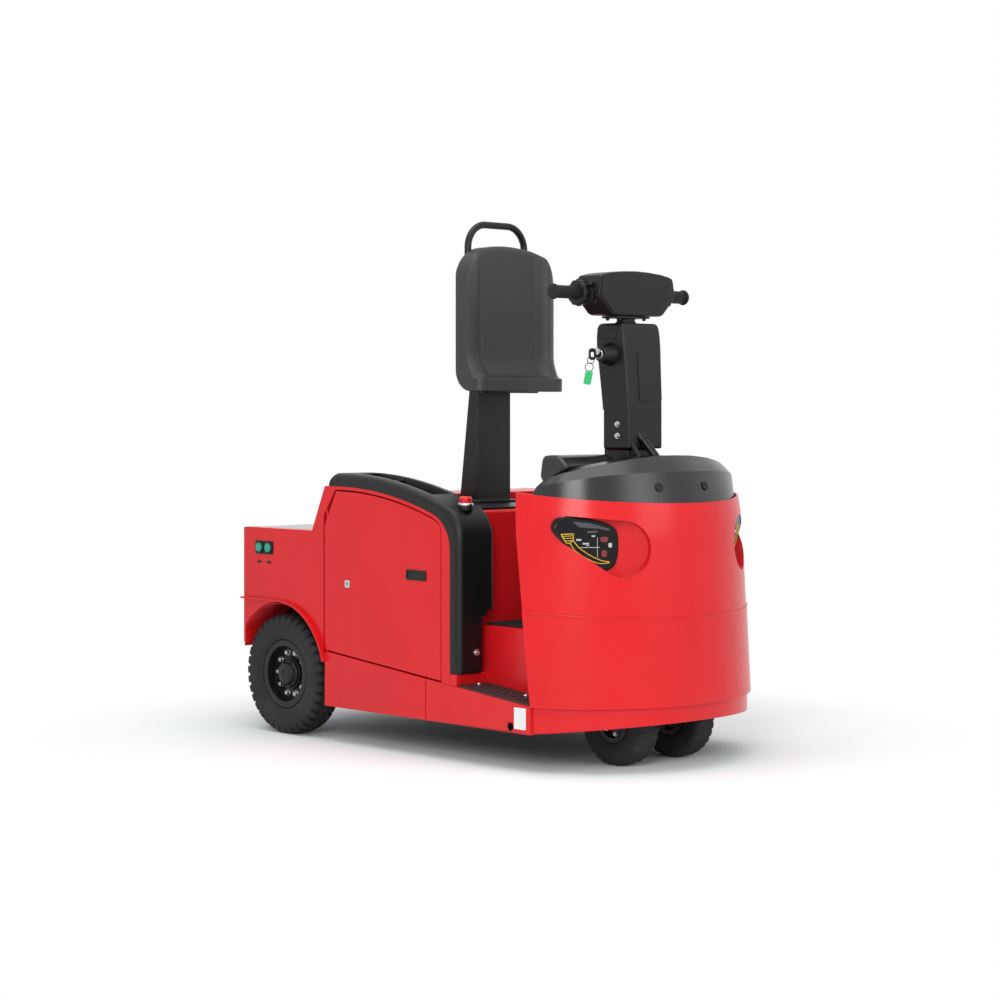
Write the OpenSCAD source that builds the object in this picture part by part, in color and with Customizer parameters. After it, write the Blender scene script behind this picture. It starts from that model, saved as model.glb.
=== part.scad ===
// Stand-on electric tow tractor for airport baggage trains.
// Lengths are in millimetres. X points forward, Y to the left, Z up.
// Places along X are measured from the rear face of the body, and
// from_rear() moves them to the frame, whose origin is on the ground
// below the middle of the whole machine.

/* [Overall] */
// Rear face of the body to the foremost point of the cowl
body_len = 1746; // [1500:1:2000]
// How far the tow hitch reaches behind the rear face
hitch_reach = 120; // [80:1:200]
// Half the width over the flanks
half_width = 484; // [420:1:560]
// Thickness of flanks, doors and skirts
wall = 22; // [12:1:40]
// Gap around a door
door_gap = 5; // [5:0.5:10]
// Radial play of a shaft in its bore
running_fit = 0.05; // [0.01:0.01:0.1]

/* [Rear wheels] */
// Rear axle from the rear face
axle_x = 204; // [150:1:260]
// Outer radius of a rear tyre
tyre_r = 207.5; // [170:0.5:240]
// Width of a rear tyre
tyre_w = 110; // [80:1:140]
// Flank to the outer side of the tyre
tyre_inset = 8; // [0:1:40]
// Height of the shoulder blocks
lug_h = 7; // [3:0.5:10]
// Shoulder blocks on each side
lug_count = 30; // [20:1:40]
// Radius of the rear rim under the bead
rim_r = 104; // [80:1:120]
// Radius of the rear rim's flange
flange_r = 117.5; // [110:0.5:140]
// Thickness of the rim's barrel and disc
rim_t = 8; // [4:1:12]
// Radius of the drive shaft's end
stub_r = 30; // [20:1:40]
// Radius of the wheel arch
arch_r = 250; // [225:1:280]
// Width of the strip behind the arch
arch_rear_t = 10; // [4:1:16]
// Height of the strip's lower end above the axle
arch_rear_z = 98; // [80:1:140]
// Fender lip beyond the flank
lip_out = 16; // [8:1:30]
// Thickness of the fender lip
lip_t = 6; // [3:1:12]
// Top of the fender lip above the arch
lip_up = 9; // [6:1:14]

/* [Front wheels] */
// Steering axis behind the front of the nose
steer_back = 254; // [186:1:346]
// Outer radius of a front tyre
ftyre_r = 135; // [110:0.5:150]
// Width of a front tyre
ftyre_w = 90; // [60:1:100]
// Middle of a front tyre from the centre plane
ftrack_y = 132; // [110:1:150]
// Radius of the front rim under the bead
frim_r = 52; // [40:1:70]
// Radius of the front rim's flange
fflange_r = 64; // [55:1:80]
// Radius of the front axle
faxle_r = 15; // [10:1:25]
// Radius of the steering pivot
pivot_r = 40; // [25:1:60]
// Room around the sweep of the steered wheels
sweep_gap = 9; // [6:1:30]

/* [Rear box] */
// Length of the rear box along its top
box_len = 378; // [300:1:460]
// Top of the rear box
box_z = 711; // [600:1:800]
// Thickness of the rear wall
rear_t = 15; // [8:1:30]
// Lower edge of the rear wall
rear_low_z = 250; // [200:1:300]
// Thickness of the deck plate
deck_t = 8; // [4:1:16]
// Gap around the deck plate
deck_gap = 4; // [1:1:10]
// Depth of the recess of the inching buttons
button_depth = 12; // [4:1:18]
// Radius of an inching button
button_r = 16; // [10:1:20]

/* [Battery housing] */
// Front of the battery housing behind the front of the nose
house_back = 671; // [596:1:746]
// Upper end of the slanted rear edge
slant_x = 448; // [400:1:500]
// Highest point of the flank
crown_z = 867; // [800:1:950]
// Where the crown starts to fall
crown_x = 520; // [480:1:600]
// Radius of the long fall of the crown
crown_r = 1480; // [1000:10:2500]
// Radius of the front shoulder
shoulder_r = 122; // [80:1:160]
// Top of the red cover beside the seat
cover_z = 837; // [800:1:860]
// Front end of the red cover
cover_x = 665; // [600:1:720]
// Thickness of the red cover
cover_t = 18; // [8:1:30]
// Width of the black shoulder cover
shoulder_w = 154; // [110:1:200]
// Height of the black shoulder cover over the flank
shoulder_t = 45; // [20:1:70]
// Rear end of the tray behind the front of the nose
tray_back = 1146; // [1046:1:1186]
// Length of the storage tray
tray_len = 320; // [150:1:340]
// Lower end of the black shoulder cover
shoulder_low_z = 281; // [270:1:400]
// Top of the seat deck
seat_deck_z = 808; // [780:1:830]
// Thickness of the seat deck
seat_deck_t = 8; // [4:1:16]
// Thickness of the wall behind the operator
bulk_t = 22; // [10:1:40]

/* [Doors] */
// Rear edge of a battery door
door_x0 = 446; // [430:1:480]
// Front edge of the battery door behind the front of the nose
door_back = 716; // [696:1:796]
// Where the slanted part of the door's rear edge starts
door_slant_z = 734; // [700:1:780]
// Upper end of the slanted part
door_slant_x = 507; // [480:1:540]
// Crown of the flank to the top of the door
door_inset = 16; // [10:1:30]
// Radius of a hinge pin
hinge_r = 4; // [3:0.5:6]
// Rear edge of the door to its hinge pin
hinge_in = 8; // [7:0.5:12]
// How far the opening's rear corner lies above the door's, so that the door can swing
hinge_room = 32; // [10:1:60]

/* [Sills and floor] */
// Lower edge of the skirts
sill_low_z = 121; // [80:1:160]
// Rear end of the skirts
sill_x0 = 445; // [430:1:480]
// Front end of the skirts behind the front of the nose
sill_back = 308; // [286:1:346]
// Joint between the rear and front skirts behind the front of the nose
split_back = 788; // [746:1:846]
// Top of the skirt at its rear end
sill_z0 = 307; // [280:1:340]
// Top of the skirt at its front end
sill_z1 = 209; // [190:1:240]
// Radius of a lashing hole
lash_r = 12.5; // [8:0.5:16]
// Lashing hole behind the front of the nose
lash_back = 394; // [346:1:446]
// Height of a lashing hole
lash_z = 140; // [140:1:180]
// Top of the operator's floor
floor_z = 430; // [380:1:480]
// Distance of the floor's side from the machine's side
floor_in = 134; // [100:1:170]
// Thickness of frame plates
plate_t = 12; // [6:1:20]
// Thickness of the floor mat
mat_t = 8; // [4:1:16]
// Thickness of a step plate
step_t = 5; // [3:1:10]

/* [Cowl] */
// Radius of the middle of the nose at half height beyond half the width
nose_more = 61; // [20:1:120]
// Half the angle of the middle of the nose
nose_a = 40; // [30:1:50]
// How much the nose flares at its lower edge
flare = 19; // [5:1:40]
// How much the nose draws in at its rim
draw_in = 25; // [10:1:50]
// Thickness of the cowl
cowl_t = 8; // [5:1:16]
// Lower edge of the cowl
cowl_low_z = 206; // [190:1:230]
// Split between lower and upper cowl at the entrance
split_z = 504; // [450:1:560]
// Fall of the split towards the nose, in degrees
split_a = 4.2; // [3:0.5:7]
// Rim of the cowl at the entrance
rim_z = 868; // [820:1:920]
// Fall of the rim towards the nose, in degrees
rim_a = 5.6; // [3:0.2:7]
// Entrance edge of the cowl at its rim, behind the front of the nose
entry_back = 397; // [346:1:416]
// Lean of the entrance edge, in degrees
entry_a = 7.7; // [4:0.2:9]
// Thickness of the bumper
bumper_t = 8; // [5:1:16]
// Bumper inside the lower edge of the cowl
bumper_in = 12; // [8:1:30]
// Rise of the bumper's lower edge towards the nose, in degrees
bumper_a = 6; // [0:0.5:12]
// Rear end of the headlamp's face behind the front of the nose
lamp_back = 249; // [220:1:280]
// Rear end of the headlamp's face inside the machine's side
lamp_in = 42; // [30:1:60]

/* [Dash and steering] */
// Front of the dash in the middle, behind the front of the nose
dash_back = 144; // [96:1:186]
// Radius of the front of the dash
dash_r = 760; // [500:10:1000]
// Underside of the dash
dash_low_z = 832; // [800:1:840]
// Fold in the front of the dash
fold_z = 922; // [890:1:950]
// Ridge of the dash
ridge_z = 981; // [950:1:1010]
// Slope of the dash towards the operator, in degrees
dash_a = 29.5; // [20:0.5:40]
// Rear edge of the dash behind the front of the nose
dash_rear_back = 354; // [316:1:356]
// Panel in front of the operator's legs behind the front of the nose
knee_back = 284; // [246:1:285]
// Axis of the tiller behind the front of the nose
tiller_back = 354; // [336:1:376]
// Half the width of the steering column
column_half = 62; // [50:1:80]
// Half width of the mast above the dash
mast_half = 80; // [60:1:100]
// Rear face of the mast behind the front of the nose
mast_rear_back = 380; // [356:1:406]
// Front face of the mast behind the front of the nose
mast_front_back = 267; // [246:1:284]
// Lower end of the mast
mast_z = 1000; // [995:1:1060]
// Half width of the column cover
hood_half = 85; // [70:1:110]
// Reach of the key switch boss from the column cover
boss_reach = 47; // [20:1:60]
// Radius of the key switch boss
boss_r = 23; // [18:1:30]
// Rear face of the steering column behind the front of the nose
column_rear_back = 394; // [376:1:416]
// Front face of the steering column behind the front of the nose
column_front_back = 286; // [285:1:316]
// Top of the steering column's steel part
column_z = 1135; // [1080:1:1180]
// Top of the column's cover
column_top_z = 1404; // [1360:1:1440]
// Underside of the tiller head
head_low_z = 1431; // [1420:1:1460]
// Top of the tiller head
head_top_z = 1572; // [1540:1:1620]
// Half the width of the tiller head
head_half = 182; // [150:1:200]
// Depth of the tiller head
head_depth = 118; // [90:1:140]
// Tiller head in front of its axis
head_fore = 10; // [0:1:20]
// Radius of a grip
grip_r = 21; // [14:0.5:24]
// End of a grip from the centre plane
grip_y = 314; // [280:1:380]
// Height of the grips
grip_z = 1500; // [1470:1:1530]
// Axis of the grips behind the tiller's axis
grip_back = 26; // [0:1:50]
// Radius of the tiller's shaft
shaft_r = 15; // [10:1:20]

/* [Seat] */
// Seat post behind the front of the nose
post_back = 968; // [926:1:996]
// Half the width of the seat post
post_half = 75; // [40:1:90]
// Back of the seat behind the front of the nose
seat_back = 959; // [916:1:966]
// Half the width of the seat
seat_half = 206; // [150:1:230]
// Underside of the seat
seat_low_z = 1187; // [1100:1:1250]
// Top of the seat's back
seat_top_z = 1684; // [1600:1:1750]
// Thickness of the seat's back
seat_t = 60; // [40:1:80]
// Front lip of the seat behind the front of the nose
pan_back = 835; // [786:1:866]
// Height of the pan's front edge
pan_t = 48; // [30:1:70]
// Radius of the upper corners of the seat
seat_corner_r = 110; // [60:1:150]
// Radius of the handle's tube
handle_r = 12; // [8:0.5:16]
// Legs of the handle from the centre plane
handle_y = 133; // [100:1:150]
// Middle of the handle's top bar
handle_z = 1757; // [1710:1:1800]
// Bend radius of the handle
handle_bend = 80; // [25:1:60]

/* [Hitch] */
// Radius of the tow pin
pin_r = 12.5; // [10:0.5:16]
// Tow pin behind the rear face
pin_back = 75; // [60:1:100]
// Thickness of a jaw plate
jaw_t = 15; // [10:1:25]
// Height of the lowest jaw plate
jaw_z = 212; // [190:1:240]
// Distance from jaw plate to jaw plate
jaw_pitch = 85; // [60:1:110]
// Half the width of the jaw
jaw_half = 45; // [30:1:70]

/* [Hidden] */
$fn = 96;
house_x = body_len - house_back;
door_x1 = body_len - door_back;
post_x = body_len - post_back;
seat_x = body_len - seat_back;
pan_x = body_len - pan_back;
tray_x = body_len - tray_back;
sill_split_x = body_len - split_back;
nose_r = half_width + nose_more;
lamp_z = rim_z - 167;
steer_x = body_len - steer_back;
sill_x1 = body_len - sill_back;
lash_x = body_len - lash_back;
entry_x = body_len - entry_back;
dash_x = body_len - dash_back;
dash_x0 = body_len - dash_rear_back;
knee_x = body_len - knee_back;
tiller_x = body_len - tiller_back;
mast_x0 = body_len - mast_rear_back;
mast_x1 = body_len - mast_front_back;
column_x0 = body_len - column_rear_back;
column_x1 = body_len - column_front_back;
floor_half = half_width - floor_in;
shoulder_y = -(half_width - shoulder_w);
corner_r = (half_width - nose_r * sin(nose_a)) / (1 - sin(nose_a));
span = body_len;
rear_x = -(body_len - hitch_reach) / 2;
in_y = half_width - wall;
wheel_y = half_width - tyre_inset - tyre_w / 2;
house_y = in_y - 123;
sill_slope = (sill_z0 - sill_z1) / (sill_x1 - sill_x0);
function sill_z(x) = sill_z0 - (x - sill_x0) * sill_slope;
nose_x = body_len - nose_r - flare;
bump_off = flare - bumper_in;
floor_low_z = sill_low_z + 10;
floor_top_z = floor_low_z + plate_t;
sweep_r = norm([ftyre_r, ftrack_y + ftyre_w / 2]);
bay_x = steer_x - sweep_r - sweep_gap;
pan_z = 2 * ftyre_r + 45;
sub_z = 300;
bearing_top_z = pan_z + 45;
shoulder_cx = house_x - shoulder_r;
crown_cz = crown_z - crown_r;
shoulder_cz = crown_cz + sqrt(pow(crown_r - shoulder_r, 2) - pow(shoulder_cx - crown_x, 2));
crown_a = atan2(shoulder_cz - crown_cz, shoulder_cx - crown_x);
hinge_x = door_x0 + hinge_in;
hinge_y = half_width - hinge_in;
jaw_count = 3;
pin_top_z = jaw_z + (jaw_count - 1) * jaw_pitch + jaw_t;
nodes_red = [0.83, 0.12, 0.13];
nodes_black = [0.10, 0.10, 0.11];
nodes_steel = [0.62, 0.63, 0.65];

function arc(cx, cz, r, a0, a1, n) =
    [for (i = [0:n]) [cx + r * cos(a0 + (a1 - a0) * i / n), cz + r * sin(a0 + (a1 - a0) * i / n)]];

// Crown line of the housing, drawn in by d, from the top to the front edge
function crown(d) = concat(
    arc(crown_x, crown_cz, crown_r - d, 90, crown_a, 8),
    arc(shoulder_cx, shoulder_cz, shoulder_r - d, crown_a, 0, 6));

module from_rear() translate([rear_x, 0, 0]) children();
module both_sides() {
    children();
    mirror([0, 1, 0]) children();
}
// Extrudes an outline drawn in X and Z from y0 to y1
module along_y(y0, y1) translate([0, y1, 0]) rotate([90, 0, 0]) linear_extrude(y1 - y0) children();
// Extrudes an outline drawn in Y and Z from x0 to x1
module along_x(x0, x1) translate([x0, 0, 0]) rotate([90, 0, 90]) linear_extrude(x1 - x0) children();
module box(x0, x1, y0, y1, z0, z1) translate([x0, y0, z0]) cube([x1 - x0, y1 - y0, z1 - z0]);
// A round bar along Y
module bar_y(x, z, r, y0, y1) translate([x, y0, z]) rotate([-90, 0, 0]) cylinder(r = r, h = y1 - y0);
// A solid turned about Y from an outline of radius and Y
module turned_y(x, y, z) translate([x, y, z]) rotate([-90, 0, 0]) rotate_extrude() children();

// Plan of the nose: three sectors of the outline of radius offset and height
module nose_turned(d0, d1) both_sides() translate([nose_x, 0, 0]) {
    rotate([0, 0, -nose_a]) rotate_extrude(angle = nose_a + 5) nose_section(nose_r, d0, d1);
    rotate([0, 0, -nose_a]) translate([nose_r - corner_r, 0, 0]) mirror([0, 1, 0])
        rotate_extrude(angle = 90 - nose_a) nose_section(corner_r, d0, d1);
}
// Height and radius offset along the side of the nose
nose_line = [[cowl_low_z, flare], [rim_z - 368, 5], [rim_z - 268, 0], [rim_z - 128, -6], [rim_z - 68, -13],
    [rim_z + 4, -draw_in]];
// Section of the cowl between two depths below its outer face
module nose_section(r, d0, d1) polygon(concat(
    [for (p = nose_line) [r + p[1] - d0, p[0]]],
    [for (i = [len(nose_line) - 1:-1:0]) [d1 < 0 ? 0.01 : r + nose_line[i][1] - d1, nose_line[i][0]]]));
// Everything in front of the leaning entrance edge
module before_entry() translate([entry_x, 0, rim_z]) rotate([0, -entry_a, 0])
    translate([0, -span, -span]) cube([span, 2 * span, 2 * span]);
// Everything above a plane through height z at the entrance that falls by a degrees
module above_plane(x, z, a) translate([x, 0, z]) rotate([0, a, 0]) translate([-span, -span, 0])
    cube([2 * span, 2 * span, span]);

module chassis_frame() color(nodes_black) from_rear() {
    box(sill_x0 + 15, bay_x, -in_y, in_y, floor_low_z, floor_top_z);
    box(sill_x0 + 15, sill_x0 + 15 + plate_t, -house_y, house_y, floor_top_z, sub_z + plate_t);
    box(rear_t, sill_x0 + 15, -house_y, house_y, sub_z, sub_z + plate_t);
    box(bay_x - plate_t, bay_x, -floor_half + plate_t, floor_half - plate_t, floor_top_z, pan_z);
    difference() {
        intersection() {
            union() {
                box(bay_x - plate_t, body_len, -floor_half + plate_t, floor_half - plate_t, pan_z, pan_z + plate_t);
                translate([steer_x, 0, pan_z]) cylinder(r = pivot_r + 22, h = bearing_top_z - pan_z);
                both_sides() box(bay_x, body_len, floor_half - 3 * plate_t, floor_half - 2 * plate_t,
                    sill_z1 + 20, pan_z);
            }
            translate([nose_x, 0, 0]) cylinder(r = nose_r + bump_off - bumper_t, h = 600);
        }
        translate([steer_x, 0, 0]) cylinder(r = pivot_r + running_fit, h = 600);
    }
}

// Sector of a circle between two angles
module sector(r, a) intersection() {
    circle(r = r);
    polygon([[0, 0], [2 * r, 0], [3 * r * cos(a / 2), 3 * r * sin(a / 2)], [2 * r * cos(a), 2 * r * sin(a)]]);
}
module nose_plan(d) for (side = [0, 1]) mirror([0, side, 0]) translate([nose_x, 0]) rotate(-nose_a) {
    sector(nose_r + d, nose_a + 5);
    translate([nose_r - corner_r, 0]) mirror([0, 1, 0]) sector(corner_r + d, 90 - nose_a);
}
module bumper_front() color(nodes_red) from_rear() intersection() {
    translate([0, 0, sill_low_z]) linear_extrude(cowl_low_z + 2 - sill_low_z) intersection() {
        difference() {
            nose_plan(bump_off);
            nose_plan(bump_off - bumper_t);
        }
        translate([sill_x1, -half_width]) square([body_len - sill_x1, 2 * half_width]);
    }
    above_plane(sill_x1, sill_low_z + 2, -bumper_a);
}

module skirt_plate(x0, x1) polygon([[x0, sill_low_z], [x1, sill_low_z], [x1, sill_z(x1)], [x0, sill_z(x0)]]);
module skirts_rear() color(nodes_red) from_rear() both_sides() {
    along_y(-half_width, -in_y) skirt_plate(sill_x0, sill_split_x - 1.5);
    translate([hinge_x, -hinge_y, sill_z(hinge_x) - 6]) cylinder(r = hinge_r, h = 26);
}
module skirts_front() color(nodes_red) from_rear() both_sides() difference() {
    along_y(-half_width, -in_y) skirt_plate(sill_split_x + 1.5, sill_x1);
    bar_y(lash_x, lash_z, lash_r, -half_width - 1, -in_y + 1);
}
module step_plates() color(nodes_steel * 0.5) from_rear() both_sides() along_y(-half_width + 4, -floor_half)
    polygon([for (p = [[house_x + 32, 0], [sill_x1 - 6, 0], [sill_x1 - 6, step_t], [house_x + 32, step_t]])
        [p[0], sill_z(p[0]) + p[1]]]);

module operator_floor() color(nodes_red) from_rear() {
    both_sides() along_y(-floor_half, -floor_half + plate_t) polygon([[house_x, floor_top_z],
        [knee_x, floor_top_z], [knee_x, floor_z], [house_x, floor_z]]);
    box(house_x, knee_x, -floor_half + plate_t, floor_half - plate_t, floor_z - plate_t, floor_z);
}
module floor_mat() color(nodes_black) from_rear()
    box(house_x + 12, column_x0 - 4, -floor_half + 15, floor_half - 15, floor_z, floor_z + mat_t);

module bulkhead_panel() color(nodes_red) from_rear() {
    difference() {
        union() {
            box(house_x - bulk_t, house_x, shoulder_y, -shoulder_y, floor_top_z, seat_deck_z - seat_deck_t);
            both_sides() along_y(-in_y, shoulder_y) intersection() {
                translate([house_x - bulk_t, floor_top_z]) square([bulk_t, crown_z - floor_top_z]);
                polygon(concat([[house_x, 0], [crown_x, 0]], crown(0)));
            }
        }
        difference() {
            box(house_x - bulk_t / 2, house_x + 1, -in_y - 1, in_y + 1, seat_deck_z - seat_deck_t - bulk_t / 2, seat_deck_z);
            bar_y(house_x - bulk_t / 2, seat_deck_z - seat_deck_t - bulk_t / 2, bulk_t / 2, -in_y - 1, in_y + 1);
        }
    }
    both_sides() along_y(-half_width, -floor_half) polygon([[house_x, sill_z(house_x)], [house_x + 30, sill_z(house_x + 30)],
        [house_x + 30, shoulder_low_z], [house_x, shoulder_low_z]]);
}

// Door outline grown by g, with its lower edge at the height low above the skirt and its rear corner raised
module door_outline(g, low, raised = 0) polygon(concat(
    [[door_x1 + g, sill_z(door_x1) + low], [door_x0 - g, sill_z(door_x0) + low], [door_x0 - g, door_slant_z + raised],
        [door_slant_x - g, crown_z - door_inset + g]],
    [for (p = crown(door_inset - g)) [min(p[0], door_x1 + g), p[1]]]));
// Flank outline up to the height top
module flank_outline(top) intersection() {
    difference() {
        polygon(concat([[0, tyre_r + arch_rear_z], [0, box_z], [box_len, box_z], [slant_x, crown_z]], crown(0),
            [[house_x, sill_z(house_x)], [sill_x0, sill_z0], [sill_x0, tyre_r]]));
        intersection() {
            translate([axle_x, tyre_r]) circle(r = arch_r);
            translate([arch_rear_t, 0]) square([2 * arch_r + axle_x, box_z]);
        }
        intersection() {
            door_outline(door_gap, -50, hinge_room);
            square([house_x, top - door_inset + door_gap]);
        }
    }
    translate([-10, 0]) square([house_x + 20, top]);
}
module fender_lip() {
    along_y(-half_width - lip_out, -half_width) difference() {
        union() {
            intersection() {
                translate([axle_x, tyre_r]) circle(r = arch_r + lip_up);
                translate([axle_x, tyre_r + 64]) square([arch_r + 20, arch_r]);
            }
            translate([0, tyre_r + arch_r + lip_up - lip_t]) square([axle_x + 1, lip_t]);
        }
        translate([axle_x, tyre_r]) circle(r = arch_r + lip_up - lip_t);
    }
}
module flank(top) {
    along_y(-half_width, -in_y) flank_outline(top);
    translate([hinge_x, -hinge_y, door_slant_z - 24]) cylinder(r = hinge_r, h = 2 * hinge_room + 24);
    fender_lip();
}
module flank_panels() color(nodes_red) from_rear() {
    difference() {
        flank(crown_z);
        box(72, 167, -half_width - 1, -half_width + button_depth, 623, 666);
    }
    mirror([0, 1, 0]) flank(cover_z);
}
module inch_buttons() color([0.05, 0.5, 0.4]) from_rear() for (x = [93, 143])
    bar_y(x, 643, button_r, -half_width + 1, -half_width + button_depth);

module rear_walls() color(nodes_red) from_rear() {
    box(0, rear_t, -in_y, in_y, tyre_r + arch_r - 96, box_z - deck_t);
    box(0, rear_t, -house_y, house_y, rear_low_z, tyre_r + arch_r - 96);
    box(rear_t, rear_t + 30, -in_y, in_y, box_z - deck_t - 12, box_z - deck_t);
    along_y(-in_y, in_y) polygon([[box_len + 18, box_z - deck_t - 40], [box_len - 30, box_z - deck_t - 40],
        [box_len - 30, box_z - deck_t], [box_len, box_z - deck_t], [box_len, box_z],
        [slant_x - (crown_z - cover_z + cover_t) * 0.45, cover_z - cover_t],
        [slant_x + 16, cover_z - cover_t], [box_len + 18, box_z]]);
}
module rear_deck() color(nodes_steel) from_rear()
    box(deck_gap, box_len - deck_gap, -in_y + deck_gap, in_y - deck_gap, box_z - deck_t, box_z);
module wheelhouses() color(nodes_black) from_rear() both_sides() intersection() {
    translate([axle_x, -house_y, tyre_r]) rotate([-90, 0, 0]) rotate([0, 0, 180]) rotate_extrude(angle = 180)
        polygon([[60, -5], [arch_r, -5], [arch_r, house_y - in_y], [arch_r + 5, house_y - in_y], [arch_r + 5, 0], [60, 0]]);
    box(rear_t, 2 * box_len, -in_y, in_y, 0, box_z);
}

// Everything below the crown drawn in by d and below the height top
module under_crown(d, top) intersection() {
    polygon(concat([[house_x - d, 0], [slant_x - 1, 0], [slant_x - 1, crown_z - d]], crown(d)));
    square([house_x, top]);
}
module battery_cover() color(nodes_red) from_rear() {
    along_y(-shoulder_y, in_y) intersection() {
        difference() {
            under_crown(0, cover_z);
            under_crown(cover_t, cover_z - cover_t);
        }
        translate([slant_x, shoulder_cz]) square([house_x - bulk_t - slant_x, crown_z]);
    }
    along_y(shoulder_y, -shoulder_y + 1) polygon([[slant_x - (crown_z - cover_z + cover_t) * 0.45, cover_z - cover_t],
        [slant_x - (crown_z - cover_z) * 0.45, cover_z], [cover_x, cover_z], [cover_x, seat_deck_z - seat_deck_t],
        [cover_x - cover_t, seat_deck_z - seat_deck_t], [cover_x - cover_t, cover_z - cover_t]]);
}
// Outer line of the black cover
module shoulder_outline() polygon(concat([[crown_x - 45, crown_z], [crown_x - 20, crown_z + 30]],
    [for (p = crown(-shoulder_t)) [p[0] + 4, p[1]]],
    [[house_x + shoulder_t - 5, shoulder_low_z], [house_x, shoulder_low_z]],
    [for (i = [len(crown(0)) - 1:-1:0]) crown(0)[i]]));
module shoulder_cover() color(nodes_black) from_rear() {
    difference() {
        along_y(-half_width, shoulder_y) shoulder_outline();
        along_y(-half_width + 40, shoulder_y - 30) intersection() {
            polygon(concat(crown(-12), [for (i = [len(crown(0)) - 1:-1:0]) crown(-shoulder_t - 40)[i]]));
            translate([tray_x, 0]) square([tray_len, crown_z + 200]);
        }
        box(house_x - 1, house_x + 100, shoulder_y - 46, shoulder_y + 1, 200, 477);
    }
    translate([house_x - 5, -410, crown_z - 90]) cylinder(r = 25, h = 41);
}
module estop_button() color([0.7, 0.05, 0.06]) from_rear() translate([house_x - 5, -410, crown_z - 49]) {
    cylinder(r = 17, h = 10);
    translate([0, 0, 8]) cylinder(r1 = 19, r2 = 21, h = 14);
    translate([0, 0, 22]) cylinder(r1 = 21, r2 = 16, h = 7);
}

module seat_deck() color(nodes_black) from_rear()
    box(cover_x, house_x - bulk_t / 2, shoulder_y, -shoulder_y, seat_deck_z - seat_deck_t, seat_deck_z);
module seat_post() color(nodes_black) from_rear() {
    box(cover_x + 6, post_x + 32, -post_half - 30, post_half + 30, seat_deck_z, seat_deck_z + 8);
    along_y(-post_half, post_half) polygon([[post_x - 99, seat_deck_z + 8], [post_x, seat_deck_z + 8],
        [post_x, seat_low_z + 290], [post_x - 38, seat_low_z + 290], [post_x - 52, seat_low_z]]);
    box(post_x, seat_x + 13, -100, 100, seat_low_z + 40, seat_low_z + 290);
}
module seat() color([0.24, 0.24, 0.26]) from_rear() difference() {
    intersection() {
        along_y(-seat_half, seat_half) polygon(concat([[seat_x, seat_top_z], [seat_x + seat_t - 12, seat_top_z],
            [seat_x + seat_t, seat_top_z - 20], [seat_x + seat_t, seat_low_z + pan_t + 40],
            [seat_x + seat_t + 20, seat_low_z + pan_t + 8], [pan_x - 12, seat_low_z + pan_t],
            [pan_x, seat_low_z + pan_t - 12], [pan_x, seat_low_z + 12], [pan_x - 12, seat_low_z]],
            arc(seat_x + 70, seat_low_z + 70, 70, 270, 180, 5)));
        along_x(seat_x - 10, pan_x + 10) polygon(concat([[-seat_half, seat_low_z], [seat_half, seat_low_z]],
            arc(seat_half - seat_corner_r, seat_top_z - seat_corner_r - 8, seat_corner_r, 0, 80, 6),
            arc(-seat_half + seat_corner_r, seat_top_z - seat_corner_r - 8, seat_corner_r, 100, 180, 6)));
    }
    box(seat_x - 1, seat_x + 13, -handle_y - 25, handle_y + 25, seat_low_z - 1, seat_top_z + 1);
}
module seat_handle() color(nodes_black) from_rear() translate([seat_x - 3, 0, 0]) {
    both_sides() {
        translate([0, handle_y, seat_low_z + 230]) cylinder(r = handle_r, h = handle_z - handle_bend - seat_low_z - 230);
        translate([0, handle_y - handle_bend, handle_z - handle_bend]) rotate([90, 0, 90])
            rotate_extrude(angle = 90) translate([handle_bend, 0]) circle(r = handle_r);
        bar_y(0, seat_low_z + 230, handle_r, 100, handle_y);
        translate([0, handle_y, seat_low_z + 230]) sphere(r = handle_r);
    }
    bar_y(0, handle_z, handle_r, -handle_y + handle_bend, handle_y - handle_bend);
}
module battery_block() color([0.2, 0.2, 0.22]) from_rear()
    box(sill_x0 + 45, house_x - bulk_t - 15, -in_y + 45, in_y - 45, floor_top_z, seat_deck_z - 80);

module drive_axle() color(nodes_black) from_rear() {
    bar_y(axle_x, tyre_r, 50, -house_y - 20, house_y + 20);
    bar_y(axle_x, tyre_r, stub_r, -wheel_y - 20, wheel_y + 20);
    bar_y(axle_x, tyre_r, 85, -90, 90);
    bar_y(axle_x + 130, tyre_r + 20, 72, -60, 190);
    box(axle_x, axle_x + 130, -60, 60, tyre_r - 40, tyre_r + 60);
    both_sides() box(axle_x - 40, axle_x + 40, 220, 280, tyre_r + 30, sub_z);
}

// Lamp recess on a plane turned outwards: the lens at the back, and a scoop that runs out to the nose
lamp_a = 26;
module lamp_place() translate([body_len - lamp_back, -(half_width - lamp_in), 0]) rotate([0, 0, -lamp_a]) children();
// Outline around two circles given as place and radius
function around(p, r, q, s) = let (d = norm(q - p), a = atan2(q[1] - p[1], q[0] - p[0]), t = acos((r - s) / d))
    concat(arc(p[0], p[1], r, a + t, a + 360 - t, 14), arc(q[0], q[1], s, a - t, a + t, 16));
module lens_outline(g) polygon(around([30, lamp_z + 63], 31 + g, [140, lamp_z], 70 + g));
module lamp_opening(g) polygon(around([22, lamp_z + 63], 36 + g, [214, lamp_z - 6], 88 + g));
module lamp_cut(g) lamp_place() intersection() {
    along_x(-g, 160) lamp_opening(g);
    translate([0, 0, 500]) linear_extrude(400)
        polygon([[-g, -100], [-g, 207 + g], [50 - g, 340 + g], [200, 340 + g], [200, -100]]);
}
module lamp_lens() lamp_place() along_x(-16, 0) lens_outline(0);

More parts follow.
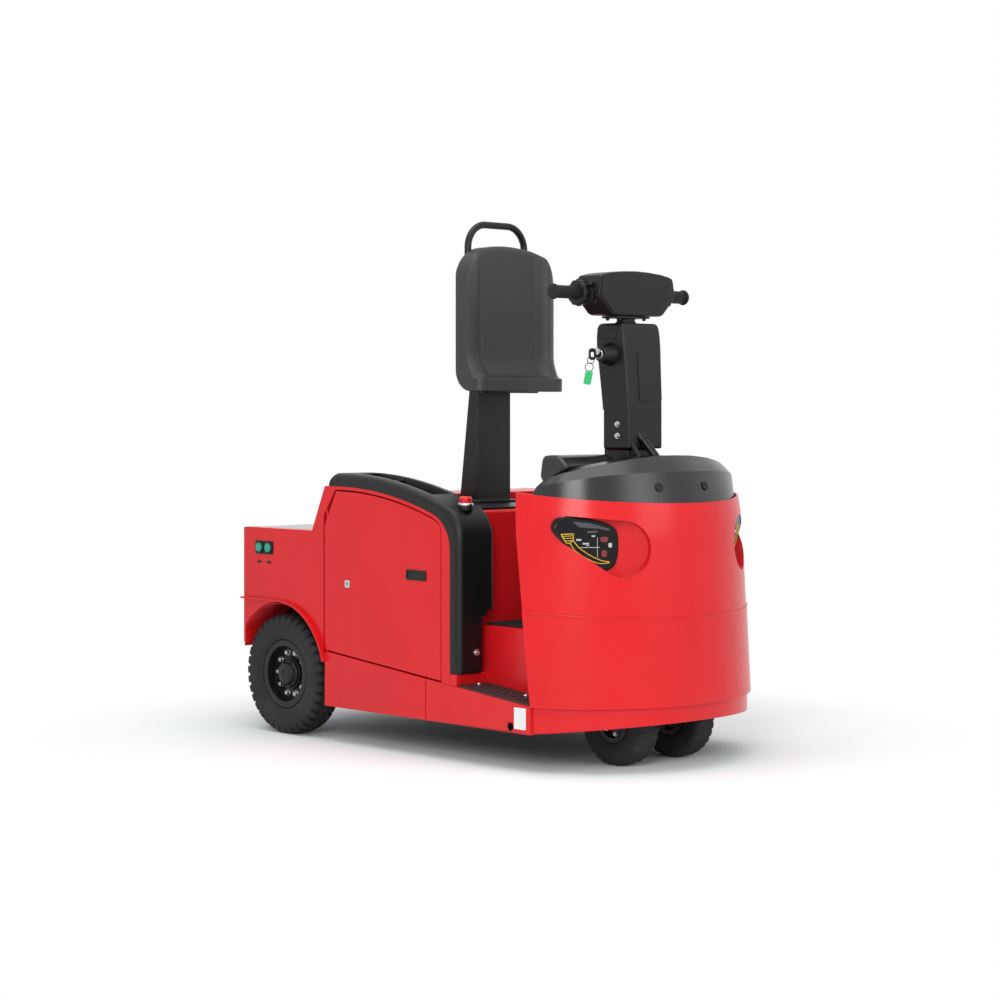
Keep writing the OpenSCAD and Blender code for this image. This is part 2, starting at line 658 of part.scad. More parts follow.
module cowl_upper() color(nodes_red) from_rear() difference() {
    intersection() {
        union() {
            nose_turned(2, cowl_t);
            intersection() {
                nose_turned(2, 130);
                both_sides() {
                    lamp_cut(cowl_t);
                    lamp_place() along_x(-16 - cowl_t, 1) lens_outline(cowl_t);
                }
            }
        }
        before_entry();
        above_plane(entry_x, split_z, split_a);
    }
    above_plane(entry_x, rim_z, rim_a);
    both_sides() lamp_cut(0);
    both_sides() lamp_lens();
}
module cowl_lower() color(nodes_red) from_rear() difference() {
    intersection() {
        union() {
            nose_turned(0, cowl_t);
            translate([0, 0, cowl_low_z + 2]) linear_extrude(cowl_t) difference() {
                nose_plan(flare - 4);
                nose_plan(flare - cowl_t - 12);
            }
        }
        before_entry();
    }
    above_plane(entry_x, split_z, split_a);
}
module headlamps() color([0.06, 0.06, 0.07]) from_rear() both_sides() lamp_lens();
module knee_panel() color(nodes_black) from_rear() difference() {
    intersection() {
        nose_turned(cowl_t, -1);
        box(knee_x, knee_x + 8, -half_width, half_width, cowl_low_z + 20, dash_low_z);
    }
    box(knee_x - 1, knee_x + 9, -floor_half, floor_half, 0, floor_z - plate_t);
}
module dash_shell() color(nodes_black) from_rear() difference() {
    intersection() {
        translate([dash_x - dash_r, 0, 0]) rotate([0, 0, -45]) rotate_extrude(angle = 90)
            polygon([[300, dash_low_z], [dash_r, dash_low_z], [dash_r - 4, fold_z],
                [dash_r - 56, ridge_z], [dash_r - 70, ridge_z + 12], [300, ridge_z + 12]]);
        translate([0, 0, dash_low_z]) linear_extrude(ridge_z + 20 - dash_low_z) intersection() {
            nose_plan(-draw_in - cowl_t - 1);
            translate([dash_x0, -half_width]) square([body_len - dash_x0, 2 * half_width]);
        }
    }
    above_plane(dash_x0, rim_z + 25, -dash_a);
    box(dash_x0 - 1, column_x1, -column_half, column_half, 0, span);
}
module instrument_pod() color(nodes_black) from_rear() along_y(-half_width + 124, -115) difference() {
    polygon([[dash_x0 - 40, rim_z + 45], [dash_x0 - 30, ridge_z - 6], [dash_x0 - 15, ridge_z + 2],
        [dash_x0 + 45, ridge_z + 2], [dash_x0 + 75, ridge_z - 25], [dash_x0 + 110, rim_z], [dash_x0, rim_z]]);
    translate([dash_x0, rim_z + 25]) rotate(dash_a) translate([-0.01, -300]) square([400, 300]);
    translate([dash_x0 - 1, 0]) square([200, rim_z + 25]);
}
module steering_column() color(nodes_black) from_rear() {
    box(column_x0, column_x1, -column_half, column_half, floor_z, mast_z + 20);
    box(mast_x0, mast_x1, -mast_half, mast_half, mast_z, column_z);
    along_y(-12, 12) polygon([[mast_x1 - 20, mast_z + 40], [mast_x1 - 20, mast_z], [column_x1 - 10, mast_z - 30],
        [column_x1 - 10, mast_z + 40]]);
}
module column_cover() color(nodes_black) from_rear() {
    difference() {
        along_y(-hood_half, hood_half) polygon([[mast_x0 + 2, column_z], [mast_x1 + 7, column_z],
            [mast_x1 - 8, column_top_z - 77], [mast_x1 - 20, column_top_z - 10], [mast_x1 - 26, column_top_z],
            [mast_x0 - 26, column_top_z], [mast_x0 - 34, column_top_z - 10], [mast_x0 - 28, column_top_z - 77]]);
        translate([tiller_x, 0, column_top_z - 70]) cylinder(r = shaft_r + running_fit, h = 100);
    }
    bar_y(tiller_x + 5, column_top_z - 92, boss_r, -hood_half - boss_reach, -hood_half + 5);
}
module key_switch() color(nodes_steel) from_rear()
    bar_y(tiller_x + 5, column_top_z - 92, boss_r - 10, -hood_half - boss_reach - 12, -hood_half - boss_reach);

module tail_lamps() color([0.6, 0.04, 0.05]) from_rear() both_sides() translate([-10, half_width - 94, box_z - 101]) rotate([0, 90, 0])
    cylinder(r = 38, h = 10);
module hitch_bracket() color(nodes_black) from_rear() difference() {
    union() {
        box(-14, 0, -90, 90, rear_low_z, pin_top_z + 40);
        box(-14, 0, -jaw_half, jaw_half, jaw_z, rear_low_z);
        for (i = [0:jaw_count - 1]) translate([0, 0, jaw_z + i * jaw_pitch]) {
            box(-pin_back, -14, -jaw_half, jaw_half, 0, jaw_t);
            translate([-pin_back, 0, 0]) cylinder(r = hitch_reach - pin_back, h = jaw_t);
        }
    }
    translate([-pin_back, 0, 0]) cylinder(r = pin_r + running_fit, h = 600);
}
module tow_pin() color(nodes_steel) from_rear() translate([-pin_back, 0, 0]) {
    translate([0, 0, jaw_z - 20]) cylinder(r = pin_r, h = pin_top_z + 0.3 - jaw_z + 20);
    translate([0, 0, pin_top_z + 0.3]) cylinder(r = pin_r + 10, h = 10);
    translate([0, 0, pin_top_z + 10]) cylinder(r = 7, h = 40);
    translate([0, 0, pin_top_z + 50]) bar_y(0, 0, 7, -45, 45);
}

// Turned section of a tyre: outer radius, bead radius, flange radius, half width, half bead width
module tyre_section(r, b, f, w, s) polygon([[b, -s], [f + 0.5, -s], [f + 0.5, -s - 9], [(f + r) / 2 - 4, -w],
    [r - 24, -w + 1], [r - 8, -w + 9], [r, -w + 22], [r, w - 22], [r - 8, w - 9], [r - 24, w - 1],
    [(f + r) / 2 - 4, w], [f + 0.5, s + 9], [f + 0.5, s], [b, s]]);
// Turned section of a rim with its disc at the place d
module rim_section(b, f, s, t, hole, d) {
    polygon([[b - t, -s - 6], [f, -s - 6], [f, -s], [b, -s], [b, s], [f, s], [f, s + 6], [b - t, s + 6]]);
    translate([hole, d]) square([b - t - hole + 1, t]);
    translate([hole, d - 22]) square([26, 44]);
}
bead = tyre_w / 2 - 18;
fbead = ftyre_w / 2 - 12;
// Ring of shoulder blocks between two places along the axle
module lug_ring(y0, y1, turn) translate([0, 0, y0]) linear_extrude(y1 - y0) difference() {
    polygon([for (i = [0:lug_count - 1], k = [0:3])
        let (a = (i + turn + [-0.31, -0.29, 0.29, 0.31][k]) * 360 / lug_count,
            r = tyre_r - ((k == 0 || k == 3) ? 3 * lug_h : 0.3)) [r * cos(a), r * sin(a)]]);
    circle(r = tyre_r - 5 * lug_h);
}
module rear_tyre(y) translate([axle_x, y, tyre_r]) rotate([-90, 0, 0]) {
    rotate_extrude() polygon([[rim_r, -bead], [flange_r + 0.5, -bead], [flange_r + 0.5, -bead - 9],
        [(flange_r + tyre_r) / 2 - 4, -tyre_w / 2], [tyre_r - 26, -tyre_w / 2 + 1], [tyre_r - 14, -tyre_w / 2 + 8],
        [tyre_r - lug_h, -tyre_w / 2 + 20], [tyre_r - lug_h, -18], [tyre_r, -15], [tyre_r, 15], [tyre_r - lug_h, 18],
        [tyre_r - lug_h, tyre_w / 2 - 20], [tyre_r - 14, tyre_w / 2 - 8], [tyre_r - 26, tyre_w / 2 - 1],
        [(flange_r + tyre_r) / 2 - 4, tyre_w / 2], [flange_r + 0.5, bead + 9], [flange_r + 0.5, bead], [rim_r, bead]]);
    lug_ring(-tyre_w / 2 + 3, -22, 0);
    lug_ring(22, tyre_w / 2 - 3, 0.5);
}
module rear_rim(y) turned_y(axle_x, y, tyre_r) rim_section(rim_r, flange_r, bead, rim_t, stub_r + running_fit, 0);
module rear_rim_right() color(nodes_black) from_rear() mirror([0, 1, 0]) rear_rim(wheel_y);
module rear_tyre_right() color(nodes_black * 0.6) from_rear() rear_tyre(-wheel_y);
module rear_rim_left() color(nodes_black) from_rear() rear_rim(wheel_y);
module rear_tyre_left() color(nodes_black * 0.6) from_rear() rear_tyre(wheel_y);

module steer_yoke() color(nodes_black) from_rear() {
    translate([steer_x, 0, pan_z - 28]) cylinder(r = pivot_r + 60, h = 20);
    translate([steer_x, 0, pan_z - 20]) cylinder(r = pivot_r, h = bearing_top_z - pan_z + 10);
    box(steer_x - 32, steer_x + 32, -50, 50, ftyre_r - 32, pan_z - 26);
    bar_y(steer_x, ftyre_r, faxle_r, -ftrack_y - 26, ftrack_y + 26);
}
module front_rims() color(nodes_black) from_rear() both_sides() turned_y(steer_x, ftrack_y, ftyre_r)
    rim_section(frim_r, fflange_r, fbead, 6, faxle_r + running_fit, 0);
module front_tyres() color(nodes_black * 0.6) from_rear() both_sides() turned_y(steer_x, ftrack_y, ftyre_r)
    tyre_section(ftyre_r, frim_r, fflange_r, ftyre_w / 2, fbead);

module tiller_head() color(nodes_black) from_rear() {
    along_x(tiller_x + head_fore - head_depth / 2, tiller_x + head_fore + head_depth / 2) polygon([
        [-head_half + 45, head_low_z], [head_half - 45, head_low_z], [head_half, grip_z - 6],
        [head_half - 4, head_top_z - 18], [head_half - 80, head_top_z], [-head_half + 80, head_top_z],
        [-head_half + 4, head_top_z - 18], [-head_half, grip_z - 6]]);
    translate([tiller_x, 0, column_top_z + 0.3]) cylinder(r = 30, h = head_low_z - column_top_z);
    translate([tiller_x, 0, column_top_z - 65]) cylinder(r = shaft_r, h = 90);
}
module tiller_grips() color(nodes_black) from_rear() both_sides() {
    bar_y(tiller_x - grip_back, grip_z, grip_r, head_half, grip_y);
    bar_y(tiller_x - grip_back, grip_z, 36, head_half, head_half + 8);
}

module battery_door(top) difference() {
    along_y(-half_width, -in_y) intersection() {
        door_outline(0, door_gap);
        square([house_x, top]);
    }
    translate([hinge_x, -hinge_y, 0]) {
        cylinder(r = hinge_r + running_fit, h = sill_z(hinge_x) + 22);
        translate([0, 0, door_slant_z - 26]) cylinder(r = hinge_r + running_fit, h = 2 * hinge_room + 40);
    }
}
module battery_door_right() color(nodes_red) from_rear() battery_door(crown_z);
module battery_door_left() color(nodes_red) from_rear() mirror([0, 1, 0]) battery_door(cover_z - door_inset);

chassis_frame();
bumper_front();
skirts_rear();
skirts_front();
step_plates();
operator_floor();
floor_mat();
bulkhead_panel();
flank_panels();
rear_walls();
rear_deck();
wheelhouses();
battery_cover();
shoulder_cover();
estop_button();
seat_deck();
seat_post();
seat();
seat_handle();
battery_block();
drive_axle();
cowl_upper();
cowl_lower();
knee_panel();
headlamps();
dash_shell();
instrument_pod();
steering_column();
column_cover();
key_switch();
inch_buttons();
tail_lamps();
hitch_bracket();
rear_rim_right();
rear_tyre_right();
rear_rim_left();
rear_tyre_left();
steer_yoke();
front_rims();
front_tyres();
tiller_head();
tiller_grips();
battery_door_right();
battery_door_left();
tow_pin();
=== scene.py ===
# %% [markdown]
# # Airport tow tractor
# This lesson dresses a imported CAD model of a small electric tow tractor. The CAD bodies are the
# fixed frame; everything made here sits on them, in the same metres, and rides with them.

# %% Load the frame
from math import acos, copysign, cos, pi, radians, sin, sqrt, tan

import bpy
import bmesh
from mathutils import Matrix, Vector


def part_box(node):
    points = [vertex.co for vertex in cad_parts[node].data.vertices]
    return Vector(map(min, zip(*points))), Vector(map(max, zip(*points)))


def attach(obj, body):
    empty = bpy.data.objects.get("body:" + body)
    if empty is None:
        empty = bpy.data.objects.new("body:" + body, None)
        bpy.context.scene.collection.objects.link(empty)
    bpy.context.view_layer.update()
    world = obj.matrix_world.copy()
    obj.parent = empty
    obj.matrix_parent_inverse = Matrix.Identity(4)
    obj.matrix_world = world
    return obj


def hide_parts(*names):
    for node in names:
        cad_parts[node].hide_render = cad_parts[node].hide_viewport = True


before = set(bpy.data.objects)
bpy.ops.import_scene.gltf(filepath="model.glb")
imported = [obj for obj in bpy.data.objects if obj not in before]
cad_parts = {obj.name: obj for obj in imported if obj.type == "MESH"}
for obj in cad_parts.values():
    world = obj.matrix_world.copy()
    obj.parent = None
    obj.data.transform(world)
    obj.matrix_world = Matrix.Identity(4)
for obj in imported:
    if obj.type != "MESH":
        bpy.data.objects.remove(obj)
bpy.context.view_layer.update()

# %% [markdown]
# ## One way to say where things are
# The CAD source measures in millimetres from the rear face of the body, so the pieces here
# do the same. `REAR` is where that face lies in the frame.

# %% Places in millimetres
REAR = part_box("rear_walls")[0].x


def at(p):
    return Vector((REAR + p[0] / 1000, p[1] / 1000, p[2] / 1000))


def polar(r, a, cx=0.0, cy=0.0):
    return (cx + r * cos(a), cy + r * sin(a))


def add(name, data):
    obj = bpy.data.objects.new(name, data)
    bpy.context.scene.collection.objects.link(obj)
    return obj


def aim(obj, direction):
    obj.rotation_mode = "QUATERNION"
    obj.rotation_quaternion = direction.to_track_quat("-Z", "Y")


print("rear face at x =", round(REAR, 4))

# %% [markdown]
# ## Shader maths
# A finish is a small sum: a bit more dust here, a bit less gloss there. Wrapping a socket in a class
# lets the sum be written as Python, and each sign adds its Math node.


# %% Sockets that do sums
class Sock:
    def __init__(self, socket):
        self.socket = socket

    def node(self, kind, inputs, settings=None, out=0):
        n = self.socket.id_data.nodes.new("ShaderNode" + kind)
        for key, value in (settings or {}).items():
            setattr(n, key, value)
        fill(n.inputs, inputs)
        return Sock(n.outputs[out])

    def sum(self, operation, other):
        return self.node("Math", {0: self, 1: other}, {"operation": operation})

    def __add__(self, other):
        return self.sum("ADD", other)

    def __mul__(self, other):
        return self.sum("MULTIPLY", other)

    def __sub__(self, other):
        return self.sum("SUBTRACT", other)

    def __gt__(self, other):
        return self.sum("GREATER_THAN", other)

    def mix(self, a, b):
        return self.node("Mix", {0: self, 6: a, 7: b}, {"data_type": "RGBA"}, 2)

    def fit(self, low, high):
        ends = {"Value": self, "From Min": low, "From Max": high}
        return self.node("MapRange", ends, {"interpolation_type": "SMOOTHSTEP"})

    def noise(self, scale, detail):
        return self.node("TexNoise", {"Vector": self, "Scale": scale, "Detail": detail})


def feed(socket, value):
    if isinstance(value, Sock):
        socket.id_data.links.new(value.socket, socket)
    else:
        socket.default_value = value


def fill(inputs, values):
    for key, value in values.items():
        feed(inputs[key], value)


def rgb(red, green, blue):
    """An sRGB colour, 0 to 255, as Blender's linear one."""
    lin = [v / 12.92 if v <= 0.04045 else ((v + 0.055) / 1.055) ** 2.4
           for v in (red / 255, green / 255, blue / 255)]
    return (*lin, 1.0)


def scaled(colour, k):
    return (*[min(1.0, c * k) for c in colour[:3]], 1.0)


def new_finish(name):
    mat = bpy.data.materials.new(name)
    mat.use_nodes = True
    coords = Sock(mat.node_tree.nodes.new("ShaderNodeTexCoord").outputs["Object"])
    return mat, mat.node_tree.nodes["Principled BSDF"].inputs, coords


print("shader sums ready")

# %% [markdown]
# ## The common finish
# Most of the machine is painted steel, moulded plastic or rubber. All share the same story: a colour
# that drifts a little, a fine grain that moves both gloss and bump, and road dust that thins out upwards.

# %% Paint, plastic and rubber
DUST = rgb(120, 112, 104)
FINISHES = {}


def coating(name, colour, rough, grain, bump, drift, dust=0.0, metal=0.0, coat=0.0, spread=0.06, speck=0.0,
            gloss=0.3):
    """Adds a finish: drift, speck and dust vary its colour, grain and spread its gloss, bump its surface."""
    colour = rgb(*colour)
    mat, shader, place = new_finish(name)
    cloud = place.noise(3.0, 3.0)
    fine = place.noise(grain, 3.0)
    tone = cloud.fit(0.3, 0.7).mix(scaled(colour, 1 - drift), scaled(colour, 1 + drift))
    if speck:
        tone = (fine.fit(0.55, 0.75) * speck).mix(tone, scaled(colour, 2.0))
    rubbed = (fine - 0.5) * spread + rough
    if dust:
        height = place.node("SeparateXYZ", {0: place}, out=2)
        film = height.fit(0.5, 0.0) * place.noise(9.0, 5.0).fit(0.3, 0.8) * dust
        tone = film.mix(tone, DUST)
        rubbed = rubbed + film * 0.3
    relief = place.node("Bump", {"Strength": bump, "Distance": 0.001, "Height": fine})
    fill(shader, {"Base Color": tone, "Roughness": rubbed, "Metallic": metal, "Coat Weight": coat,
                  "Coat Roughness": 0.2, "Specular IOR Level": gloss, "Normal": relief})
    FINISHES[name] = mat


coating("body_red", (209, 23, 29), 0.3, 900, 0.03, 0.03, 0.05, coat=0.2, gloss=0.2)
coating("black_plastic", (15, 15, 17), 0.38, 1500, 0.3, 0.06, 0.03, speck=0.25)
coating("dash_plastic", (14, 15, 17), 0.24, 1400, 0.12, 0.06, speck=0.2, gloss=0.55)
coating("black_steel", (15, 15, 17), 0.36, 700, 0.12, 0.08, 0.06, spread=0.1)
coating("seat_foam", (42, 43, 46), 0.44, 1300, 0.3, 0.05, speck=0.3, gloss=0.42)
coating("battery_case", (46, 49, 54), 0.55, 900, 0.3, 0.1, 0.1)
coating("grip_rubber", (22, 22, 24), 0.55, 1800, 0.5, 0.1, gloss=0.25)
coating("stop_red", (206, 22, 24), 0.28, 900, 0.04, 0.05, coat=0.3)
coating("button_green", (14, 150, 122), 0.3, 900, 0.04, 0.08, coat=0.3)
coating("tail_red", (150, 14, 18), 0.16, 500, 0.1, 0.1, coat=0.6)
coating("bright_steel", (196, 198, 202), 0.26, 1200, 0.1, 0.08, metal=1.0, spread=0.16)
coating("deck_steel", (182, 184, 186), 0.42, 1100, 0.1, 0.04, spread=0.16)
coating("step_steel", (48, 40, 41), 0.45, 800, 0.35, 0.14, 0.08, spread=0.2)
coating("mat_rubber", (34, 34, 36), 0.7, 1400, 0.5, 0.08, 0.05, gloss=0.2)
coating("tyre", (32, 32, 34), 0.62, 800, 0.35, 0.1, 0.1, spread=0.12, gloss=0.25)
coating("lamp_lens", (10, 10, 12), 0.1, 600, 0.02, 0.1, coat=0.08, gloss=0.22)
# The lamp chrome is the bright cross in the lamps and also the small plates that are painted reflections.
coating("lamp_chrome_and_glints", (205, 207, 210), 0.14, 900, 0.03, 0.05, metal=1.0)
coating("smoke_grey", (74, 76, 80), 0.2, 900, 0.03, 0.1, coat=0.3)
coating("guide_yellow", (232, 190, 50), 0.3, 900, 0.03, 0.05, coat=0.3)
coating("signal_red", (128, 40, 46), 0.2, 500, 0.06, 0.1, coat=0.4)
coating("plate_white", (222, 224, 224), 0.4, 900, 0.05, 0.03, 0.03)
coating("arrow_black", (18, 18, 18), 0.5, 900, 0.05, 0.06)
coating("tag_green", (26, 170, 92), 0.3, 700, 0.05, 0.06, coat=0.2)
print(len(FINISHES), "finishes:", ", ".join(sorted(FINISHES)))

# %% [markdown]
# ## Dressing the CAD bodies
# A drawn solid has razor edges, and a pressed sheet has not. Welding the exported triangles, dissolving
# the flat ones and bevelling what is left gives each panel its small folded radius without touching the
# mesh. The cowl and the flanks are thin laser-cut sheet, so they keep crisp edges and only their curves
# are smoothed.

# %% Bevels and finishes on the frame
SLOT_OF = {
    "body_red": ("bumper_front skirts_rear skirts_front operator_floor bulkhead_panel flank_panels "
                 "rear_walls battery_cover cowl_upper cowl_lower battery_door_right battery_door_left"),
    "black_plastic": "shoulder_cover column_cover tiller_head",
    "dash_plastic": "dash_shell instrument_pod",
    "black_steel": ("chassis_frame wheelhouses seat_deck seat_post seat_handle drive_axle knee_panel "
                    "steering_column hitch_bracket rear_rim_right rear_rim_left steer_yoke front_rims"),
    "step_steel": "step_plates", "mat_rubber": "floor_mat", "deck_steel": "rear_deck",
    "stop_red": "estop_button", "seat_foam": "seat", "battery_case": "battery_block",
    "lamp_lens": "headlamps", "bright_steel": "key_switch tow_pin", "button_green": "inch_buttons",
    "tail_red": "tail_lamps", "tyre": "rear_tyre_right rear_tyre_left front_tyres",
    "grip_rubber": "tiller_grips",
}
EDGE_MM = {
    "bumper_front": 3, "skirts_rear": 4, "skirts_front": 4, "operator_floor": 6, "bulkhead_panel": 3,
    "battery_cover": 5, "seat_post": 4, "battery_block": 5, "instrument_pod": 14, "steering_column": 6,
    "battery_door_right": 3, "battery_door_left": 3, "tail_lamps": 4, "drive_axle": 3,
    "rear_rim_right": 2, "rear_rim_left": 2,
}
PLAIN_EDGE_MM = 1.5
CRISP = ("flank_panels", "cowl_upper", "cowl_lower")
WELD_M, FLAT_DEG, SHARP_DEG = 0.00002, 0.6, 28


def weld(obj):
    obj.modifiers.new("weld", "WELD").merge_threshold = WELD_M


def bevel(obj, width_mm, segments, angle):
    edge = obj.modifiers.new("edge", "BEVEL")
    edge.width, edge.segments = width_mm / 1000, segments
    edge.limit_method, edge.angle_limit = "ANGLE", radians(angle)
    edge.use_clamp_overlap = False
    return edge


def split_edges(obj, angle):
    obj.modifiers.new("split", "EDGE_SPLIT").split_angle = radians(angle)


def soften(obj, width_mm):
    weld(obj)
    flat = obj.modifiers.new("flat", "DECIMATE")
    flat.decimate_type, flat.angle_limit = "DISSOLVE", radians(FLAT_DEG)
    bevel(obj, width_mm, 3, SHARP_DEG).miter_outer = "MITER_ARC"
    even_light(obj)


def crisp(obj):
    weld(obj)
    split_edges(obj, SHARP_DEG)
    even_light(obj)


def even_light(obj):
    for face in obj.data.polygons:
        face.use_smooth = True
    normal = obj.modifiers.new("normal", "WEIGHTED_NORMAL")
    normal.keep_sharp, normal.weight = False, 60


for finish_name, names in SLOT_OF.items():
    for name in names.split():
        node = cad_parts[name]
        node.data.materials.clear()
        node.data.materials.append(FINISHES[finish_name])
        if name in CRISP:
            crisp(node)
        else:
            soften(node, EDGE_MM.get(name, PLAIN_EDGE_MM))
print(len(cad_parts), "CAD nodes dressed")

# %% [markdown]
# ## Small mesh makers
# New pieces come from a few shapes: a turned profile, an extruded outline, a skin over a row of loops and a
# tube. Each returns points and faces in millimetres, so that several can be joined into one object.


# %% Turned, extruded, lofted and swept shapes
def angles(count):
    return [2 * pi * k / count for k in range(count)]


def wrap_faces(count, n, closed):
    """Faces between count copies of a profile of n points set round an axis."""
    faces = []
    for i in range(count):
        j = (i + 1) % count
        for k in range(n if closed else n - 1):
            m = (k + 1) % n
            faces.append((i * n + k, j * n + k, j * n + m, i * n + m))
    return faces


def turned(profile, count, closed=False):
    """Profile of (radius, height) about Z."""
    points, n = [(*polar(r, a), h) for a in angles(count) for r, h in profile], len(profile)
    faces = wrap_faces(count, n, closed)
    if not closed:
        for k in (0, n - 1):
            ring = [i * n + k for i in range(count)]
            faces.append(tuple(ring[::-1] if k == 0 else ring))
    return points, faces


def extruded(outline, low, high):
    n = len(outline)
    points = [(x, y, low) for x, y in outline] + [(x, y, high) for x, y in outline]
    faces = [tuple(range(n))[::-1], tuple(range(n, 2 * n))]
    faces += [(i, (i + 1) % n, n + (i + 1) % n, n + i) for i in range(n)]
    return points, faces


def lofted(loops, closed=False):
    """A skin over loops of as many points each; its ends are capped, or meet when it is closed."""
    n, count = len(loops[0]), len(loops)
    points, faces = [p for loop in loops for p in loop], []
    for i in range(count if closed else count - 1):
        j = (i + 1) % count
        for k in range(n):
            m = (k + 1) % n
            faces.append((i * n + k, i * n + m, j * n + m, j * n + k))
    if not closed:
        faces += [tuple(range(n))[::-1], tuple(range((count - 1) * n, count * n))]
    return points, faces


def swept(path, radius, count, closed=False):
    """A tube along points, with count sides."""
    path = [Vector(p) for p in path]
    size, loops, side = len(path), [], None
    for i, p in enumerate(path):
        before = path[i - 1] if i or closed else p
        after = path[(i + 1) % size] if i < size - 1 or closed else p
        run = (after - before).normalized()
        if side is None:
            side = run.orthogonal().normalized()
        side = (side - run * side.dot(run)).normalized()
        up = run.cross(side)
        loops.append([tuple(p + side * (radius * cos(a)) + up * (radius * sin(a))) for a in angles(count)])
    return lofted(loops, closed)


def rounded(width, height, radius, steps=6):
    """Outline of a rectangle with round corners about its middle."""
    out = []
    for cx, cy, a0 in ((1, 1, 0), (-1, 1, 90), (-1, -1, 180), (1, -1, 270)):
        for i in range(steps + 1):
            a = radians(a0 + 90 * i / steps)
            out.append(polar(radius, a, cx * (width / 2 - radius), cy * (height / 2 - radius)))
    return out


def plate(width, height, radius, low, high, steps=6):
    return extruded(rounded(width, height, radius, steps), low, high)


def ring_of(count, radius):
    return [polar(radius, a) for a in angles(count)]


print("turned, extruded, lofted and swept shapes ready")

# %% [markdown]
# ## Placing and joining
# A shape is drawn about its own origin and then stood where it belongs. Joining shapes before they become
# objects keeps the number of pieces small, and a mirror image serves for the other side.


# %% Placed, joined, mirrored and framed shapes
def placed(shape, where, up=(0, 0, 1), along=None):
    """Moves a shape so that its origin is at where and its Z points up; along is where its X points."""
    z = Vector(up).normalized()
    x = Vector(along or ((1, 0, 0) if abs(z.x) < 0.9 else (0, 1, 0)))
    x = (x - z * x.dot(z)).normalized()
    y = z.cross(x)
    turn = Matrix((x, y, z)).transposed()
    return [tuple(turn @ Vector(p) + Vector(where)) for p in shape[0]], shape[1]


def joined(*shapes):
    points, faces = [], []
    for p, f in shapes:
        faces += [tuple(i + len(points) for i in face) for face in f]
        points += list(p)
    return points, faces


def copies(shape, spots, up=(0, 0, 1)):
    return joined(*[placed(shape, spot, up) for spot in spots])


def mirrored(shape):
    return [(x, -y, z) for x, y, z in shape[0]], [f[::-1] for f in shape[1]]


def framed(outer, inner, low, high):
    """A flat frame between two outlines with the same number of points."""
    n = len(outer)
    points = [(x, y, z) for z in (low, high) for ring in (outer, inner) for x, y in ring]
    faces = []
    for k in range(n):
        m = (k + 1) % n
        for a, b in ((0, 1), (3, 2), (2, 0), (1, 3)):
            faces.append((a * n + k, a * n + m, b * n + m, b * n + k))
    return points, faces


print("placing and joining ready")

# %% [markdown]
# ## From shape to piece
# A piece is one object with a finish and small bevels that rides on a CAD body. Bevels and split edges are
# modifiers, so the drawn mesh stays simple.

# %% Pieces
PIECE_DEG = 35


def piece(name, shape, finish, edge=0.0, slot=None, body="chassis", split=0):
    mesh = bpy.data.meshes.new(name)
    mesh.from_pydata([at(p) for p in shape[0]], [], shape[1])
    tidy = bmesh.new()
    tidy.from_mesh(mesh)
    bmesh.ops.recalc_face_normals(tidy, faces=tidy.faces)
    tidy.to_mesh(mesh)
    tidy.free()
    obj = add(name, mesh)
    mesh.materials.append(FINISHES[finish])
    if edge:
        bevel(obj, edge, 2, PIECE_DEG)
    if split:
        split_edges(obj, split)
    even_light(obj)
    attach(obj, body)
    slot or finish in SLOT_OF
    print(f"{name}: {len(mesh.polygons)} faces on {body}")
    return obj


print("pieces can be made")

# %% [markdown]
# ## The camera
# The photograph is taken at chest height from the right front with a long lens. The camera stays level,
# and a small shift brings the machine to the middle of the picture.

# %% Camera
EYE, AIM, FOCAL_MM, SHIFT = (6481, -5447, 1128), 2.377, 82.62, -0.091
lens = bpy.data.cameras.new("camera")
lens.lens, lens.sensor_width, lens.shift_y = FOCAL_MM, 36.0, SHIFT
lens.clip_end = 200
camera = add("camera", lens)
camera.location = at(EYE)
aim(camera, Vector((cos(AIM), sin(AIM), 0)))
bpy.context.scene.camera = camera
print("camera at", [round(v, 2) for v in camera.location])

# %% [markdown]
# ## Tyres
# The drive tyres have square shoulder blocks that run down onto the sidewall and a broken middle rib.
# A turned carcass whose outer points sink into grooves gives that tread as real geometry in one mesh.


# %% Tyres with tread
def smooth(t):
    t = max(0.0, min(1.0, t))
    return t * t * (3 - 2 * t)


def tyre_section(r, half, bead_r, flange_r, bead_half):
    """Radius and height of each point from one bead over the crown to the other."""
    tall, steps = r - flange_r, 9
    bend = tall * 0.34
    side = [(bead_r, bead_half), (flange_r + 1, bead_half), (flange_r + 3, bead_half + 6)]
    side += [(flange_r + tall * up, half * out)
             for up, out in ((0.22, 0.93), (0.3, 0.97), (0.36, 0.965), (0.5, 0.995), (0.58, 0.985))]
    for i in range(steps + 1):
        a = radians(4 + 82 * (i / steps))
        side.append((r - bend + bend * sin(a) ** 0.8, half - bend * 0.75 + bend * 0.75 * cos(a)))
    flat_from = side[-1][1]
    side += [(r, flat_from * (1 - k / 5)) for k in range(1, 6)]
    return side + [(a, -b) for a, b in side[-2::-1]]


